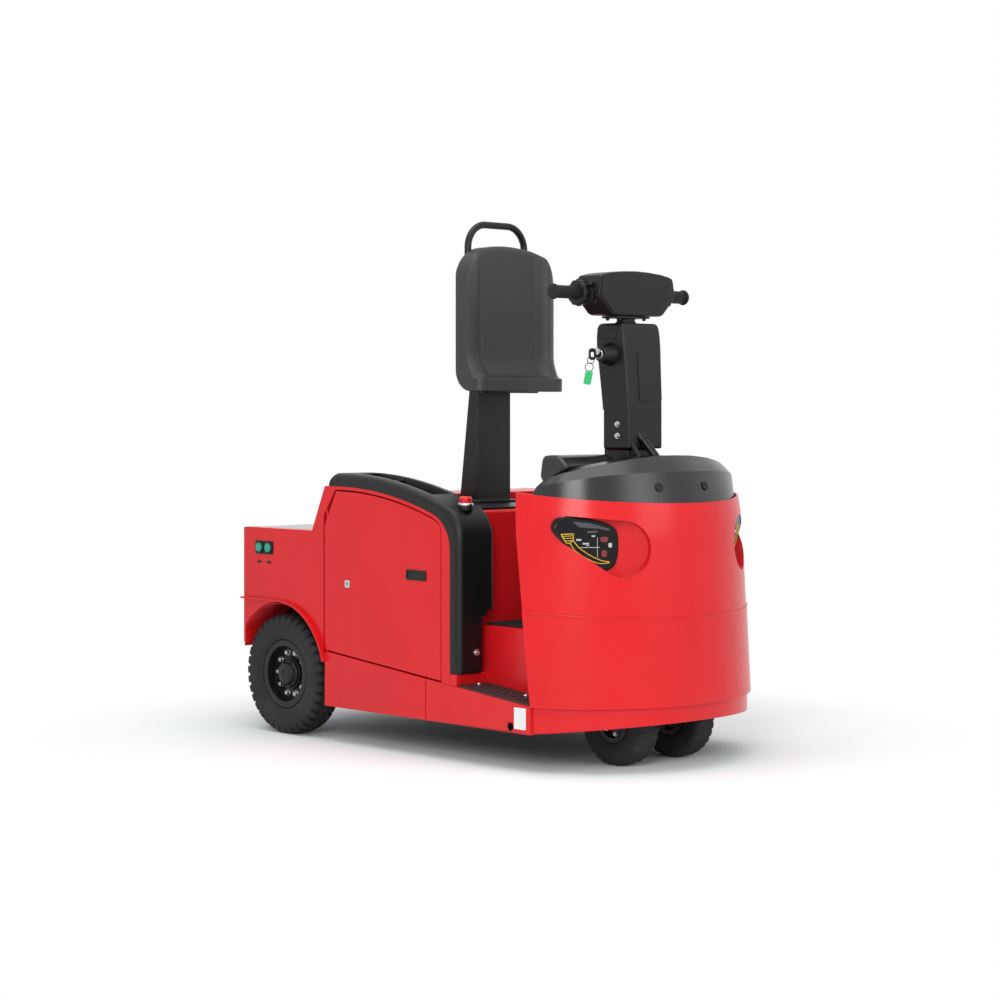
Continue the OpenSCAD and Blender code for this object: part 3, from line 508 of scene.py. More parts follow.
def tread_tyre(r, half, bead_r, flange_r, bead_half, lugs, depth, per_lug, middle):
    """A tyre about Z with staggered lugs on each side; middle is the share of its width left whole."""
    section = tyre_section(r, half, bead_r, flange_r, bead_half)
    block_foot = flange_r + (r - flange_r) * 0.56
    count, points = lugs * per_lug, []
    for i in range(count):
        angle, step = 2 * pi * i / count, i / per_lug
        zigzag = 0.28 + 0.07 * sin(2 * pi * step)
        for rad, h in section:
            phase = (step + (0.0 if h > 0 else 0.5)) % 1.0
            share = abs(h) / half
            cut = smooth((0.2 - abs(phase - 0.5)) / 0.035)
            reach = smooth((rad - block_foot) / 6) * smooth((share - middle) / 0.06)
            drop = depth * cut * reach
            if rad > r - depth and abs(share - zigzag) < 0.045:
                drop = max(drop, depth * 0.8)
            if rad > r - depth and share < 0.2 and abs(step % 1.0 - 0.25) < 0.09:
                drop = max(drop, depth * 0.7)
            points.append((*polar(rad - drop, angle), h))
    return points, wrap_faces(count, len(section), True)


def outward(shape, x, y, z, side):
    """Stands a shape on one side of the machine with its Z pointing out."""
    return placed(shape, (x, y * side, z), (0, side, 0))


def outward_pair(shape, x, y, z):
    return joined(*[outward(shape, x, y, z, side) for side in (-1, 1)])


SIDES = ((-1, "right"), (1, "left"))
AXLE_X, REAR_R, STEER_X, FRONT_R = 204, 207.5, 1492, 135
REAR_TYRE = tread_tyre(REAR_R, 55, 104, 117.5, 37, lugs=36, depth=11.0, per_lug=10, middle=0.44)
FRONT_TYRE = tread_tyre(FRONT_R, 45, 52, 64, 32, lugs=30, depth=3.5, per_lug=8, middle=0.34)
for side, name in SIDES:
    tyre = piece("drive_tyre_" + name, outward(REAR_TYRE, AXLE_X, 421, REAR_R, side), "tyre",
                 body="rear_wheel_" + name, split=44)
    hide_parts("rear_tyre_" + name)
pair = outward_pair(FRONT_TYRE, STEER_X, 132, FRONT_R)
tyre = piece("steered_tyres", pair, "tyre", body="front_wheels", split=44)
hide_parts("front_tyres")

# %% [markdown]
# ## Wheel nuts and hubs
# Zinc nuts on black rims are the bright points in the wheels. A nut is a bevelled hexagon on a washer,
# repeated around the hub, and the hub itself is a turned cap.

# %% Nuts, washers and hubs
WASHER_MM = 1.6


def nut(size, height, washer):
    disc = turned([(washer, 0), (washer, WASHER_MM)], 20)
    hexagon = placed(extruded(ring_of(6, size), 0, height), (0, 0, WASHER_MM))
    stud = turned([(size * 0.5, 0), (size * 0.5, height * 0.35)], 12)
    return joined(disc, hexagon, placed(stud, (0, 0, height + 1)))


def nut_ring(count, radius, size, height, turn=0.0):
    spots = [(*polar(radius, 2 * pi * (i + turn) / count), 0) for i in range(count)]
    return copies(nut(size, height, size * 1.25), spots)


HUB_CAP = [(50, 0), (50, 9), (47, 12), (40, 13), (37, 22), (33, 25), (14, 26), (12, 23), (0.5, 23)]
hub = joined(turned(HUB_CAP, 40), placed(nut_ring(8, 43, 4.5, 4, 0.5), (0, 0, 12)))
for side, name in SIDES:
    wheel = "rear_wheel_" + name
    nuts = outward(nut_ring(10, 74, 8.5, 9), AXLE_X, 429, REAR_R, side)
    piece("wheel_nuts_" + name, nuts, "bright_steel", 1.0, body=wheel)
    piece("wheel_hub_" + name, outward(hub, AXLE_X, 440, REAR_R, side), "black_steel", 0.8, body=wheel)
nuts = outward_pair(nut_ring(5, 36, 6, 6), STEER_X, 164, FRONT_R)
piece("front_wheel_nuts", nuts, "bright_steel", 0.8, body="front_wheels")

# %% [markdown]
# ## The lean seat
# The seat is one moulding of foam with a tough skin: a dished back between raised edges that runs
# round into a short pan. Lofting closed side sections across its width gives one smooth padded form.

# %% Seat
SEAT_BACK, SEAT_HALF, SEAT_LOW, SEAT_TOP, PAN_X = 797.0, 206.0, 1187.0, 1684.0, 920.0
DISH_HALF, BOLSTER_Y, DISH_DEPTH = 122, 166, 46
SEAM_R, TOP_FLAT, LIP_R = 7, 95, 38
TOP_R = SEAT_HALF - TOP_FLAT


def seat_depth(a):
    """Thickness of the back at a distance a from the middle: dish, bolster and rounded outer edge."""
    if a <= DISH_HALF:
        return DISH_DEPTH + 2 * (a / DISH_HALF) ** 2
    if a <= BOLSTER_Y:
        return 48 + 27 * ((a - DISH_HALF) / (BOLSTER_Y - DISH_HALF)) ** 1.7
    return 75 - 15 * ((a - BOLSTER_Y) / (SEAT_HALF - BOLSTER_Y)) ** 1.6


def seat_loop(y):
    a = abs(y)
    over = max(0.0, a - (SEAT_HALF - SEAM_R))
    d = SEAM_R - sqrt(max(0.0, SEAM_R ** 2 - over * over))
    top = SEAT_TOP - 8 * (min(a, TOP_FLAT) / TOP_FLAT) ** 2 - d * 0.5
    if a > TOP_FLAT:
        top -= TOP_R - sqrt(max(0.0, TOP_R ** 2 - (a - TOP_FLAT) ** 2))
    front = SEAT_BACK + seat_depth(a)
    pan = SEAT_LOW + 50 + (seat_depth(a) - DISH_DEPTH) * 0.7
    turn = max(0.0, a - (SEAT_HALF - LIP_R))
    low, back, lip = SEAT_LOW + d, SEAT_BACK + d, PAN_X - LIP_R + sqrt(LIP_R ** 2 - turn ** 2)
    loop = []

    def arc(cx, cz, rx, rz, a0, a1, n):
        for i in range(n + 1):
            t = radians(a0 + (a1 - a0) * i / n)
            loop.append((cx + rx * cos(t), cz + rz * sin(t)))

    def run(x0, z0, x1, z1, n):
        for i in range(1, n):
            loop.append((x0 + (x1 - x0) * i / n, z0 + (z1 - z0) * i / n))

    soft, bend, corner = min(22.0, (front - back) / 2.4), 78.0, min(72.0, lip - 8 - back)
    arc(back + 10, top - 10, 10, 10, 180, 90, 4)
    arc(front - soft, top - soft * 1.3, soft, soft * 1.3, 90, 0, 6)
    run(front, top - soft * 1.3, front, pan + bend, 10)
    lip_z = SEAT_LOW + 46 - d * 0.6
    for i in range(11):
        t = i / 10
        x = front + (lip - 9 - front) * (1 - cos(pi / 2 * t))
        z = pan + bend - bend * sin(pi / 2 * t)
        loop.append((x, z + (lip_z - z) * smooth((t - 0.5) / 0.5)))
    arc(lip - 5, lip_z - 5, 5, 5, 70, 0, 3)
    run(lip, lip_z - 5, lip, low + 5, 3)
    arc(lip - 5, low + 5, 5, 5, 0, -90, 3)
    run(lip - 5, low, back + corner, low, 5)
    arc(back + corner, low + corner, corner, corner, 270, 180, 9)
    run(back, low + corner, back, top - 10, 8)
    return [(x, y, z) for x, z in loop]


half = [0, 24, 48, 72, 92, 108, 116, 122, 129, 136, 143, 150, 156, 161, 164, 166, 168, 172, 177, 183, 189,
        194, 198, 201, 203.5, 205.3, 206]
stations = [-y for y in half[:0:-1]] + half
cushion = piece("lean_seat", lofted([seat_loop(y) for y in stations]), "seat_foam")
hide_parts("seat")
carrier = joined(placed(plate(250, 300, 16, 0, 11), (787.5, 0, 1400), (1, 0, 0)),
                 placed(plate(250, 40, 12, 0, 5), (850, 0, 1182.5), (0, 0, 1), (0, 1, 0)))
piece("seat_carrier", carrier, "black_steel", 1.5)

# %% [markdown]
# ## Headlamps
# Behind each clear cover lies a black tray with a yellow-edged light guide, a bright cross and two red
# reflectors; small bright chrome plates on the cross are painted reflections. The lamp faces half forwards,
# so its parts are drawn in its own slanted plane first.

# %% Lamp plane and lens outline
LAMP_X, LAMP_Y, LAMP_TURN = 1497.0, -442.0, radians(26)
LENS_S, LENS_Z, CURVE_STEPS = 112, 712, 4


def on_lamp(s, z, h):
    """A place s along the lamp's face, at height z, standing h proud of it."""
    return (LAMP_X + s * sin(LAMP_TURN) + h * cos(LAMP_TURN),
            LAMP_Y + s * cos(LAMP_TURN) - h * sin(LAMP_TURN), z)


def smooth_line(knots, closed=True):
    """Points on a soft curve through the knots."""
    out, n = [], len(knots)
    for i in range(n if closed else n - 1):
        p = [Vector(knots[(i + k) % n] if closed else knots[max(0, min(n - 1, i + k))])
             for k in (-1, 0, 1, 2)]
        for j in range(CURVE_STEPS):
            t = j / CURVE_STEPS
            out.append(tuple(0.5 * (2 * p[1] + (p[2] - p[0]) * t
                                    + (2 * p[0] - 5 * p[1] + 4 * p[2] - p[3]) * t * t
                                    + (3 * p[1] - p[0] - 3 * p[2] + p[3]) * t ** 3)))
    return out if closed else out + [tuple(knots[-1])]


LENS = smooth_line([(1, 753), (7, 774), (27, 791), (50, 795), (94, 791), (141, 782), (178, 771), (203, 755),
                    (211, 730), (212, 698), (208, 667), (199, 643), (181, 631), (161, 630), (127, 643),
                    (94, 663), (64, 690), (35, 716), (12, 737)])


def lens_loop(inset, h):
    return [on_lamp(LENS_S + (s - LENS_S) * (1 - inset / 100), LENS_Z + (z - LENS_Z) * (1 - inset / 80), h)
            for s, z in LENS]


def lamp_plate(s, z, width, height, radius, low, high):
    outline = rounded(width, height, radius, 4)
    return lofted([[on_lamp(s + a, z + b, h) for a, b in outline] for h in (low, high)])


def lamp_wire(knots, radius, h):
    return swept([on_lamp(s, z, h) for s, z in knots], radius, 6)


print("lens outline of", len(LENS), "points")

# %% [markdown]
# ## Inside the lamp
# The light guide, the cross and the reflectors are small, so each is built as relief on the tray: wires
# for the bright lines and low plates for the rest; the small chrome plates are also painted reflections.
# The left lamp is the mirror of the right one.

# %% Lamp tray, guide, cross with painted reflections, and reflectors
GUIDE_H, CROSS_H = 7.2, 7.6
tray = joined(lofted([lens_loop(inset, h) for inset, h in ((0, 0.2), (0, 5), (2, 8), (6, 8.6), (9, 6.5))]),
              swept(lens_loop(1, 4.5), 3.0, 8, True))
guide = [lamp_wire([(25, 742), (67, 743), (65, 725), (54, 714), (42, 714), (25, 742)], 1.4, GUIDE_H)]
guide += [lamp_wire(line, 1.0, GUIDE_H) for line in
          ([(29, 736), (66, 737)], [(33, 729), (65, 730)], [(38, 721), (61, 722)])]
guide += [lamp_wire(smooth_line(line, False), 1.5, GUIDE_H) for line in
          ([(56, 713), (62, 702), (74, 688), (110, 665), (150, 650), (184, 652)],
           [(65, 722), (73, 712), (84, 700), (114, 679), (154, 660), (184, 654)])]
# The cross is chrome wire; its small chrome plates are partly lamp parts and partly painted reflections.
cross = joined(lamp_wire([(88, 700.5), (151, 699.5)], 1.4, CROSS_H),
               lamp_wire([(144, 731), (144, 668)], 1.4, CROSS_H),
               lamp_plate(83, 724, 17, 6, 1.5, 6, 8), lamp_plate(106, 712, 22, 5, 1.5, 6, 8),
               lamp_plate(112, 706.5, 10, 3, 1, 6, 8), lamp_plate(186, 706, 12, 14, 3, 6, 8.5),
               lamp_plate(131, 735, 12, 5, 1.5, 6, 8), lamp_plate(122, 647, 12, 3, 1, 6, 8))
signals = joined(lamp_plate(166, 724, 26, 17, 6, 5, 10), lamp_plate(166, 680, 19, 22, 7, 5, 10))
blade = ((62, 781), (118, 776), (182, 758), (186, 750), (150, 757), (84, 763))
band = joined(lofted([[on_lamp(s, z, h) for s, z in blade] for h in (6, 7.4)]),
              lamp_plate(128, 748, 34, 7, 3, 6, 7.6))
LAMP_PARTS = (("lamp_tray_", tray, "lamp_lens", 0, "lamp_lens"),
              ("lamp_guide_", joined(*guide), "guide_yellow", 0, "lamp_lens"),
              ("lamp_cross_and_glints_", cross, "lamp_chrome_and_glints", 0.4, "bright_steel"),
              ("lamp_signal_", signals, "signal_red", 1.6, "tail_red"),
              ("lamp_band_", band, "smoke_grey", 0.4, "lamp_lens"))
for side, side_name in SIDES:
    for name, shape, finish, edge, slot in LAMP_PARTS:
        piece(name + side_name, shape if side < 0 else mirrored(shape), finish, edge, slot)

# %% [markdown]
# ## The tiller
# The tiller's head is a hollow moulding with a big flat front panel, and its ends carry twist grips with
# collars and thumb paddles. One outline, drawn in a little at each end, lofts into the whole head.

# %% Tiller head
TILLER_X, HEAD_Z, PLATE_Z = 1392, 1500, 1421
HEAD = [(0, 1573), (60, 1571), (115, 1566), (150, 1560), (166, 1555), (172, 1546), (179, 1510), (179, 1494),
        (174, 1483), (148, 1458), (124, 1434), (112, 1429), (50, 1428), (0, 1428)]
HEAD = HEAD + [(-y, z) for y, z in HEAD[-2:0:-1]]


def head_skin(*stations):
    """Skin over the head's outline at each x, drawn in by its inset."""
    return lofted([[(x, y * (1 - inset / 176), HEAD_Z + (z - HEAD_Z) * (1 - inset / 72)) for y, z in HEAD]
                   for x, inset in stations])


shell = head_skin((1334, 10), (1336, 5), (1342, 1.5), (1352, 0), (1436, 0), (1441, 0.8), (1444, 2.5),
                  (1445, 5))
neck = joined(placed(turned([(34, 0), (34, 4), (30, 6), (30, 25)], 32), (TILLER_X, 0, 1404.5)),
              placed(plate(82, 150, 10, 0, 6), (TILLER_X, 0, PLATE_Z)))
head = piece("tiller_body", joined(shell, neck), "black_plastic", body="tiller", split=32)
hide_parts("tiller_head")
piece("tiller_panel", head_skin((1443, 7), (1447.5, 6.5), (1449, 9), (1450, 40)), "black_plastic",
      body="tiller", split=40)
bolts = [placed(nut(6, 5, 8), (TILLER_X + x, y, PLATE_Z), (0, 0, -1)) for x in (-26, 26) for y in (-58, 58)]
bolts += [placed(turned([(4.5, 0), (4.5, 2), (3, 3), (0.4, 3)], 14), (1425, -176, z), (0, -1, 0))
          for z in (1492, 1470)]
piece("tiller_bolts", joined(*bolts), "black_steel", 0.6, body="tiller")

# %% [markdown]
# ## Grips
# Each end of the tiller has a ribbed rubber grip, a collar with lugs that the thumb finds, and a paddle.
# One of each is drawn along Z and then laid out to both sides.

# %% Twist grips, collars and paddles
GRIP_AT, COLLAR_R = (1366.0, 183, HEAD_Z), 41
ribs = [polar(r, a) for r, a in zip([21.0, 21.0, 19.2] * 16, angles(48))]
grip = joined(placed(extruded(ribs, 0, 84), (0, 0, 34)),
              placed(turned([(19, 0), (24.5, 2), (25.5, 7), (24, 11), (16, 13.5), (0.5, 14)], 32),
                     (0, 0, 117.5)),
              placed(turned([(23, 0), (23, 10)], 32), (0, 0, 24)))
lug = plate(9, 5, 1.5, 0, 15, 3)
collar = joined(turned([(22, -2), (39, -2), (41, 2), (41, 17), (38, 21), (26, 23), (22, 23)], 36, True),
                *[placed(lug, (*polar(COLLAR_R, a), 1.5), (0, 0, 1), (sin(a), -cos(a), 0))
                  for a in angles(12)])
paddle = joined(placed(plate(26, 44, 8, 0, 11), (40, -6, -8)),
                placed(plate(20, 14, 5, 0, 9), (43, 26, -2), (0, 0.3, 1)))
rubber = piece("grip_rubbers", outward_pair(grip, *GRIP_AT), "grip_rubber", 0.8, body="tiller")
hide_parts("tiller_grips")
piece("grip_collars", outward_pair(collar, *GRIP_AT), "black_plastic", 1.0, body="tiller")
piece("thumb_paddles", outward_pair(paddle, *GRIP_AT), "black_plastic", 2.0, body="tiller")

# %% [markdown]
# ## The steering column
# A tapered plastic hood with shallow pressed panels covers the column. A stack of rounded rectangles lofts
# into the hood, the key's boss is turned, and the panels are thin plates laid on it.

# %% Column hood, panels, struts and bolts
hood_rows = [(1126, 1360, 1481, 81.5), (1139, 1359, 1481, 81.5), (1200, 1354, 1478, 84),
             (1327, 1340, 1470, 88), (1362, 1340, 1466, 89), (1388, 1343, 1461, 89),
             (1399, 1347, 1457, 86), (1404, 1353, 1451, 80)]
hood = lofted([[((x0 + x1) / 2 + x, y, z) for x, y in rounded(x1 - x0, 2 * half_w, 12, 5)]
               for z, x0, x1, half_w in hood_rows])
boss = placed(turned([(40, -8), (38, 2), (33, 16), (29, 34), (26, 44), (21, 48), (0.5, 48)], 36),
              (1404, -86, 1304), (0, -1, 0))
cover = piece("column_hood", joined(hood, boss), "black_plastic", split=40)
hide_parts("column_cover")
panels = joined(placed(plate(104, 158, 8, -4, 2.4), (1476.3, 22, 1231), (1, 0, 0.063)),
                outward_pair(plate(78, 30, 9, -3, 2.4), 1396, 88.5, 1369))
piece("column_panels", panels, "black_plastic", 1.5)
struts = joined(swept([(1466, -22, 1052), (1500, -8, 1006), (1532, 6, 962)], 13, 16),
                swept([(1466, -22, 1052), (1484, -15, 1028)], 17, 16),
                swept([(1462, -58, 1030), (1492, -56, 990), (1510, -55, 966)], 9, 14))
piece("column_struts", struts, "black_steel", 0.6)
screws = [outward(nut(7.5, 6, 10), 1430, 80, z, side) for side in (-1, 1) for z in (1079, 1042)]
piece("mast_bolts", joined(*screws), "bright_steel", 0.8)

# %% [markdown]
# ## The key
# The key with its green tag is the one bright thing on the column. Its bow and rings are wires bent into
# loops, and the tag is a plate that hangs a little askew.

# %% Key, rings and tag
KEY_X, KEY_Y, KEY_Z = 1402.0, -146.0, 1303.0
bow = [(KEY_X, KEY_Y - 21 + y, KEY_Z + z) for y, z in rounded(24, 30, 8, 4)]
cap = placed(plate(22, 9, 2, -2, 2, 3), (KEY_X, KEY_Y - 19, KEY_Z + 11), (1, 0, 0))
piece("key_bow", joined(swept(bow, 4.2, 8, True), cap), "black_plastic", 0.6)
shank = placed(plate(13, 8, 1.5, -1.2, 1.2, 3), (KEY_X, KEY_Y - 4, KEY_Z), (1, 0, 0))
collet = turned([(13.6, 0), (16, 0), (16, 4), (14.5, 6), (13.6, 6)], 28, True)
rings = []
for (x, y, z), radius in (((1396, -168, 1284), 11.0), ((1393, -172, 1262), 13.0)):
    loop = [(x + 0.7 * radius * cos(a), y + 0.7 * radius * cos(a), z + radius * sin(a))
            for a in angles(20)]
    rings.append(swept(loop, 1.3, 6, True))
piece("key_steel", joined(shank, placed(collet, (KEY_X, -132, KEY_Z), (0, -1, 0))), "bright_steel", 0.3)
piece("key_rings", joined(*rings), "black_steel")
facing, along = (0.72, -0.66, 0.12), (0.66, 0.72, -0.2)
tag = joined(placed(plate(24, 44, 5, -3.5, 3.5), (1396, -180, 1228), facing, along),
             placed(plate(15, 30, 3, 3.5, 4.4), (1396, -180, 1226), facing, along))
piece("key_tag", tag, "tag_green", 1.2, "button_green")

# %% [markdown]
# ## The dash
# The dash fills the rounded mouth of the cowl with two facets. Their folds fall towards the operator, so
# each station carries its own heights, read between a few known angles of the nose.

# %% Dash and its screw pockets
MID_X, MID_R, MEET_DEG = 1182, 545, 40
CORNER_X, CORNER_Y, CORNER_R = 1312.8, 109.7, 374.3
SLOPE_X, RIM_Z, RIM_FALL, RIM_SUNK = 1349, 868, tan(radians(5.6)), 14
DASH_X, DASH_Z, DASH_FOOT, DASH_RISE = 1392, 893, 850, 0.566
FOLD = [(0, 931), (18, 930), (35, 922), (52, 907), (69, 890), (90, 872)]
RIDGE = [(0, 981), (12, 979), (23, 972), (34, 959), (54, 934), (77, 903), (90, 900)]


def nose_point(angle, offset):
    """A place on the plan of the nose: middle arc, then the tighter corner arc."""
    a = radians(abs(angle))
    if abs(angle) <= MEET_DEG:
        x, y = polar(MID_R + offset, a, MID_X)
    else:
        x, y = polar(CORNER_R + offset, a, CORNER_X, CORNER_Y)
    return (x, copysign(y, angle))


def between(table, value):
    """Reads a height from a table of angles with straight lines in between."""
    for (a0, z0), (a1, z1) in zip(table, table[1:]):
        if value <= a1:
            return z0 + (z1 - z0) * (value - a0) / (a1 - a0)
    return table[-1][1]


def dash_loop(angle):
    a = abs(angle)
    x, y = nose_point(angle, -34.5)
    rim = RIM_Z - RIM_FALL * (x - SLOPE_X) - RIM_SUNK
    upright = min(1, max(0, (a - 14) / 32), (84 - a) / 22)
    fx, fy = nose_point(angle, -72 + 30 * upright)
    tx, ty = nose_point(angle, -122 + 50 * upright)
    fx, tx = max(fx, DASH_X + 4), max(tx, DASH_X + 2)
    top = between(RIDGE, a)
    mx = max(DASH_X + 1, min(tx - 18, DASH_X + (top - DASH_Z) / DASH_RISE))
    return [(x, y, rim), (fx, fy, between(FOLD, a)), (tx, ty, top),
            (mx, ty, min(top + 1, DASH_Z + (mx - DASH_X) * DASH_RISE)),
            (DASH_X, ty, DASH_Z), (DASH_X, ty, DASH_FOOT)]


dash = piece("dash_top", lofted([dash_loop(angle) for angle in range(-76, 77, 4)]), "dash_plastic", split=14)
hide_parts("dash_shell")
pocket = joined(turned([(9, 0.3), (15, 0.3), (15, 1.8), (13, 2.6), (9, 1.2)], 28, True),
                turned([(9.2, 0.4), (4, 0.5), (0.4, 0.5)], 20))
pockets = []
for angle in (-15.3, 8.7):
    facing = (*polar(0.93, radians(angle)), 0.37)
    pockets.append(placed(pocket, (*nose_point(angle, -54.5), 884), facing))
piece("dash_pockets", joined(*pockets), "arrow_black", 0.4, "dash_plastic")

# %% [markdown]
# ## Trim on the flanks and doors
# The two green inching buttons sit on a black plate above small direction arrows, and each door has a
# lock and a grip recess. The places come from the photograph, laid flat on the flank.

# %% Buttons, arrows, locks and grips
HALF_WIDTH = 484.0
BUTTON_XS, BUTTON_Z, ARROW_Z, LOCK = (91, 141), 644, 593.5, (568, 541)


def on_flank(shape, x, z, side=-1, y=HALF_WIDTH):
    """Lays a flat shape on the right flank, or its mirror on the left one."""
    laid = placed(shape, (x, -y, z), (0, -1, 0))
    return laid if side < 0 else mirrored(laid)


def on_flanks(shape, x, z, y=HALF_WIDTH):
    return joined(*[on_flank(shape, x, z, side, y) for side in (-1, 1)])


piece("button_plate", on_flank(plate(98, 47, 3, -1, 2.0, 3), 116, BUTTON_Z), "black_plastic", 0.8)
cap = turned([(15.8, 1), (15.8, 6), (14, 8.5), (8, 10), (0.4, 10.4)], 28)
bezel = turned([(16.3, 1), (22, 1), (22, 4), (20, 6.5), (17.5, 7), (16.3, 6)], 32, True)
caps = piece("button_caps", joined(*[on_flank(cap, x, BUTTON_Z) for x in BUTTON_XS]), "button_green")
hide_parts("inch_buttons")
piece("button_bezels", joined(*[on_flank(bezel, x, BUTTON_Z) for x in BUTTON_XS]), "black_plastic", 0.4)
arrow = [(-14, 0), (-3, 9), (-3, 3.4), (14, 3.4), (14, -3.4), (-3, -3.4), (-3, -9)]
arrows = joined(on_flank(extruded(arrow, -0.5, 0.6), 89.5, ARROW_Z),
                on_flank(extruded([(-a, b) for a, b in arrow[::-1]], -0.5, 0.6), 143, ARROW_Z))
piece("button_arrows", arrows, "arrow_black", 0, "black_plastic")
grip_frame = joined(framed(rounded(97, 34, 5), rounded(84, 21, 3), -0.5, 3.2),
                    plate(86, 23, 3, -0.5, 0.9),
                    placed(plate(78, 5, 2, 0.8, 2.2), (0, 5, 0)))
lock = joined(framed(rounded(25, 25, 4), rounded(14, 14, 6.9), -0.5, 2.2),
              turned([(7, -0.5), (7, 1.2), (6, 1.6), (0.4, 1.6)], 20))
keyhole = plate(8, 8, 2, 1.4, 2.4)
for side, name in SIDES:
    door = "door_" + name
    piece("door_grip_" + name, on_flank(grip_frame, 914.5, 588, side), "black_plastic", 0.7, body=door)
    piece("door_lock_" + name, on_flank(lock, *LOCK, side), "bright_steel", 0.5, body=door)
    piece("door_key_" + name, on_flank(keyhole, *LOCK, side), "button_green", 0.4, body=door)

# %% [markdown]
# ## Plates at the lashing holes
# A small white plate marks each lashing hole. It is left blank, so a thin rounded sheet is all of it.

# %% Blank plates
piece("lashing_plates", on_flanks(plate(52, 67, 2, -0.3, 0.9, 3), 1396.5, 169), "plate_white",
      0.3, "deck_steel")

# %% [markdown]
# ## Door seals and battery ribs
# A rubber seal stands behind the gap round each door, so that no light comes through it. Behind it, the
# battery's steel case is stiffened by pressed ribs, which show when a door is open.

# %% Seals and ribs
SILL, SILL_RUN = 98 / 993, 585
DOOR_X0, DOOR_X1, DOOR_Z, DOOR_REAR_TOP = 446, 1030, 307, 734
CROWN_X, CROWN_Z, CROWN_R = 520, -613, 1464
TURN_X, TURN_Z, TURN_R, TURN_DEG = 953, 674, 106, 71.4


def door_line(grow, top):
    """Outline of a door, larger by grow: sill, rear edge, crown and the turn down at its front."""
    line = [(DOOR_X1 + grow, DOOR_Z - SILL_RUN * SILL - grow), (DOOR_X0 - grow, DOOR_Z - grow),
            (DOOR_X0 - grow, DOOR_REAR_TOP)]
    line += [polar(CROWN_R + grow, radians(90.5 - 19.1 * k / 10), CROWN_X, CROWN_Z) for k in range(11)]
    start, end = radians(TURN_DEG), acos((DOOR_X1 - TURN_X + grow) / (TURN_R + grow))
    line += [polar(TURN_R + grow, start + (end - start) * k / 6, TURN_X, TURN_Z) for k in range(1, 7)]
    return [(x, min(z, top + grow)) for x, z in line]


for (side, name), top, outer in zip(SIDES, (900, 821), (38, 10)):
    seal = framed(door_line(outer, top), door_line(-45, top), 0, 4)
    piece("door_seal_" + name, on_flank(seal, 0, 0, side, 451.0), "mat_rubber", 0.8)
low, high = (v * 1000 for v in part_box("battery_block"))
bars = []
for side in (-1, 1):
    for k in range(8):
        x = low.x - REAR * 1000 + (high.x - low.x) * (k + 0.5) / 8
        bars.append(on_flank(plate(16, 500, 7, -0.5, 5), x, (low.z + high.z) / 2, side, high.y))
piece("battery_ribs", joined(*bars), "battery_case", 1.5)

# %% [markdown]
# ## Steps and mat
# The steps are dark anti-slip plates with pressed rings and two zinc screws, and the mat is ribbed
# lengthwise. Both are small shapes repeated in rows over the box of the CAD plate.

# %% Step rings, screws and mat ribs
low, high = (v * 1000 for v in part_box("step_plates"))
step_x0, step_top = low.x - REAR * 1000, high.z
slope_up = (SILL, 0, 1)


def on_step(shape, x, y):
    return placed(shape, (x, y, step_top - (x - step_x0) * SILL), slope_up)


stud = turned([(2.4, -0.3), (7.5, -0.3), (7, 1.6), (5.2, 2.4), (3.2, 2.4), (2.4, 1.4)], 14, True)
studs = [on_step(stud, step_x0 + 22 + 13 * (row % 2) + 26 * k, y * side) for side in (-1, 1)
         for row, y in enumerate((374, 400, 426, 452)) for k in range(12)]
piece("step_studs", joined(*studs), "step_steel")
button = turned([(9.5, -0.3), (9.5, 2.5), (7, 5), (3, 5.6), (2.6, 3.6), (0.4, 3.6)], 20)
heads = [on_step(button, x, y * side) for side in (-1, 1) for x, y in ((1124, 403), (1327, 390))]
piece("step_screws", joined(*heads), "bright_steel", 0.3)
low, high = (v * 1000 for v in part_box("floor_mat"))
mid = (low.x + high.x) / 2 - REAR * 1000
ridge = plate(high.x - low.x - 24, 8, 3.5, -0.3, 1.8, 3)
ridges = copies(ridge, [(mid, y, high.z) for y in range(-315, 316, 21)])
piece("mat_ridges", ridges, "mat_rubber", 0.7)

# %% [markdown]
# ## The shoulder cover
# A black moulding runs forward along the crown of the door, turns down beside the operator and ends at the
# step. It holds an open tray. Sections across it, set along that path, loft into one shell.

# %% Shoulder cover
COVER_IN_R, COVER_OUT_R, COVER_X0, COVER_X1, COVER_LEAN = 1480.5, 1525, 470, 992, 56
LEG_X0, LEG_X1, LEG_STATION = 1075.5, 1120, 1000


def along_crown(x, radius):
    return (x, CROWN_Z + sqrt(radius ** 2 - (x - CROWN_X) ** 2))


def turn_arc(radius, cx, cz, start):
    """Twelve points from an angle down to the level."""
    return [polar(radius, radians(start - start * k / 12), cx, cz) for k in range(1, 13)]


def quarter(count):
    return [radians(90 * j / count) for j in range(count + 1)]


crown_xs = [COVER_X0, 472, 476, 482, 490, 505, 535, 567, 571, 600, 630, 660, 676, 679, 687, 690, 740, 800,
            860, 896, 900, 930, 965, COVER_X1]
spine = [(along_crown(x, COVER_IN_R), along_crown(x + COVER_LEAN * k / (len(crown_xs) - 1), COVER_OUT_R), x)
         for k, x in enumerate(crown_xs)]
spine += [(p, q, LEG_STATION) for p, q in zip(turn_arc(122.5, TURN_X, TURN_Z, TURN_DEG),
                                              turn_arc(110, 1010, 714.4, 69.7))]
spine += [((LEG_X0, z), (LEG_X1, z), LEG_STATION)
          for z in (600, 520, 484, 478, 466, 460, 400, 340, 300, 286, 282)]


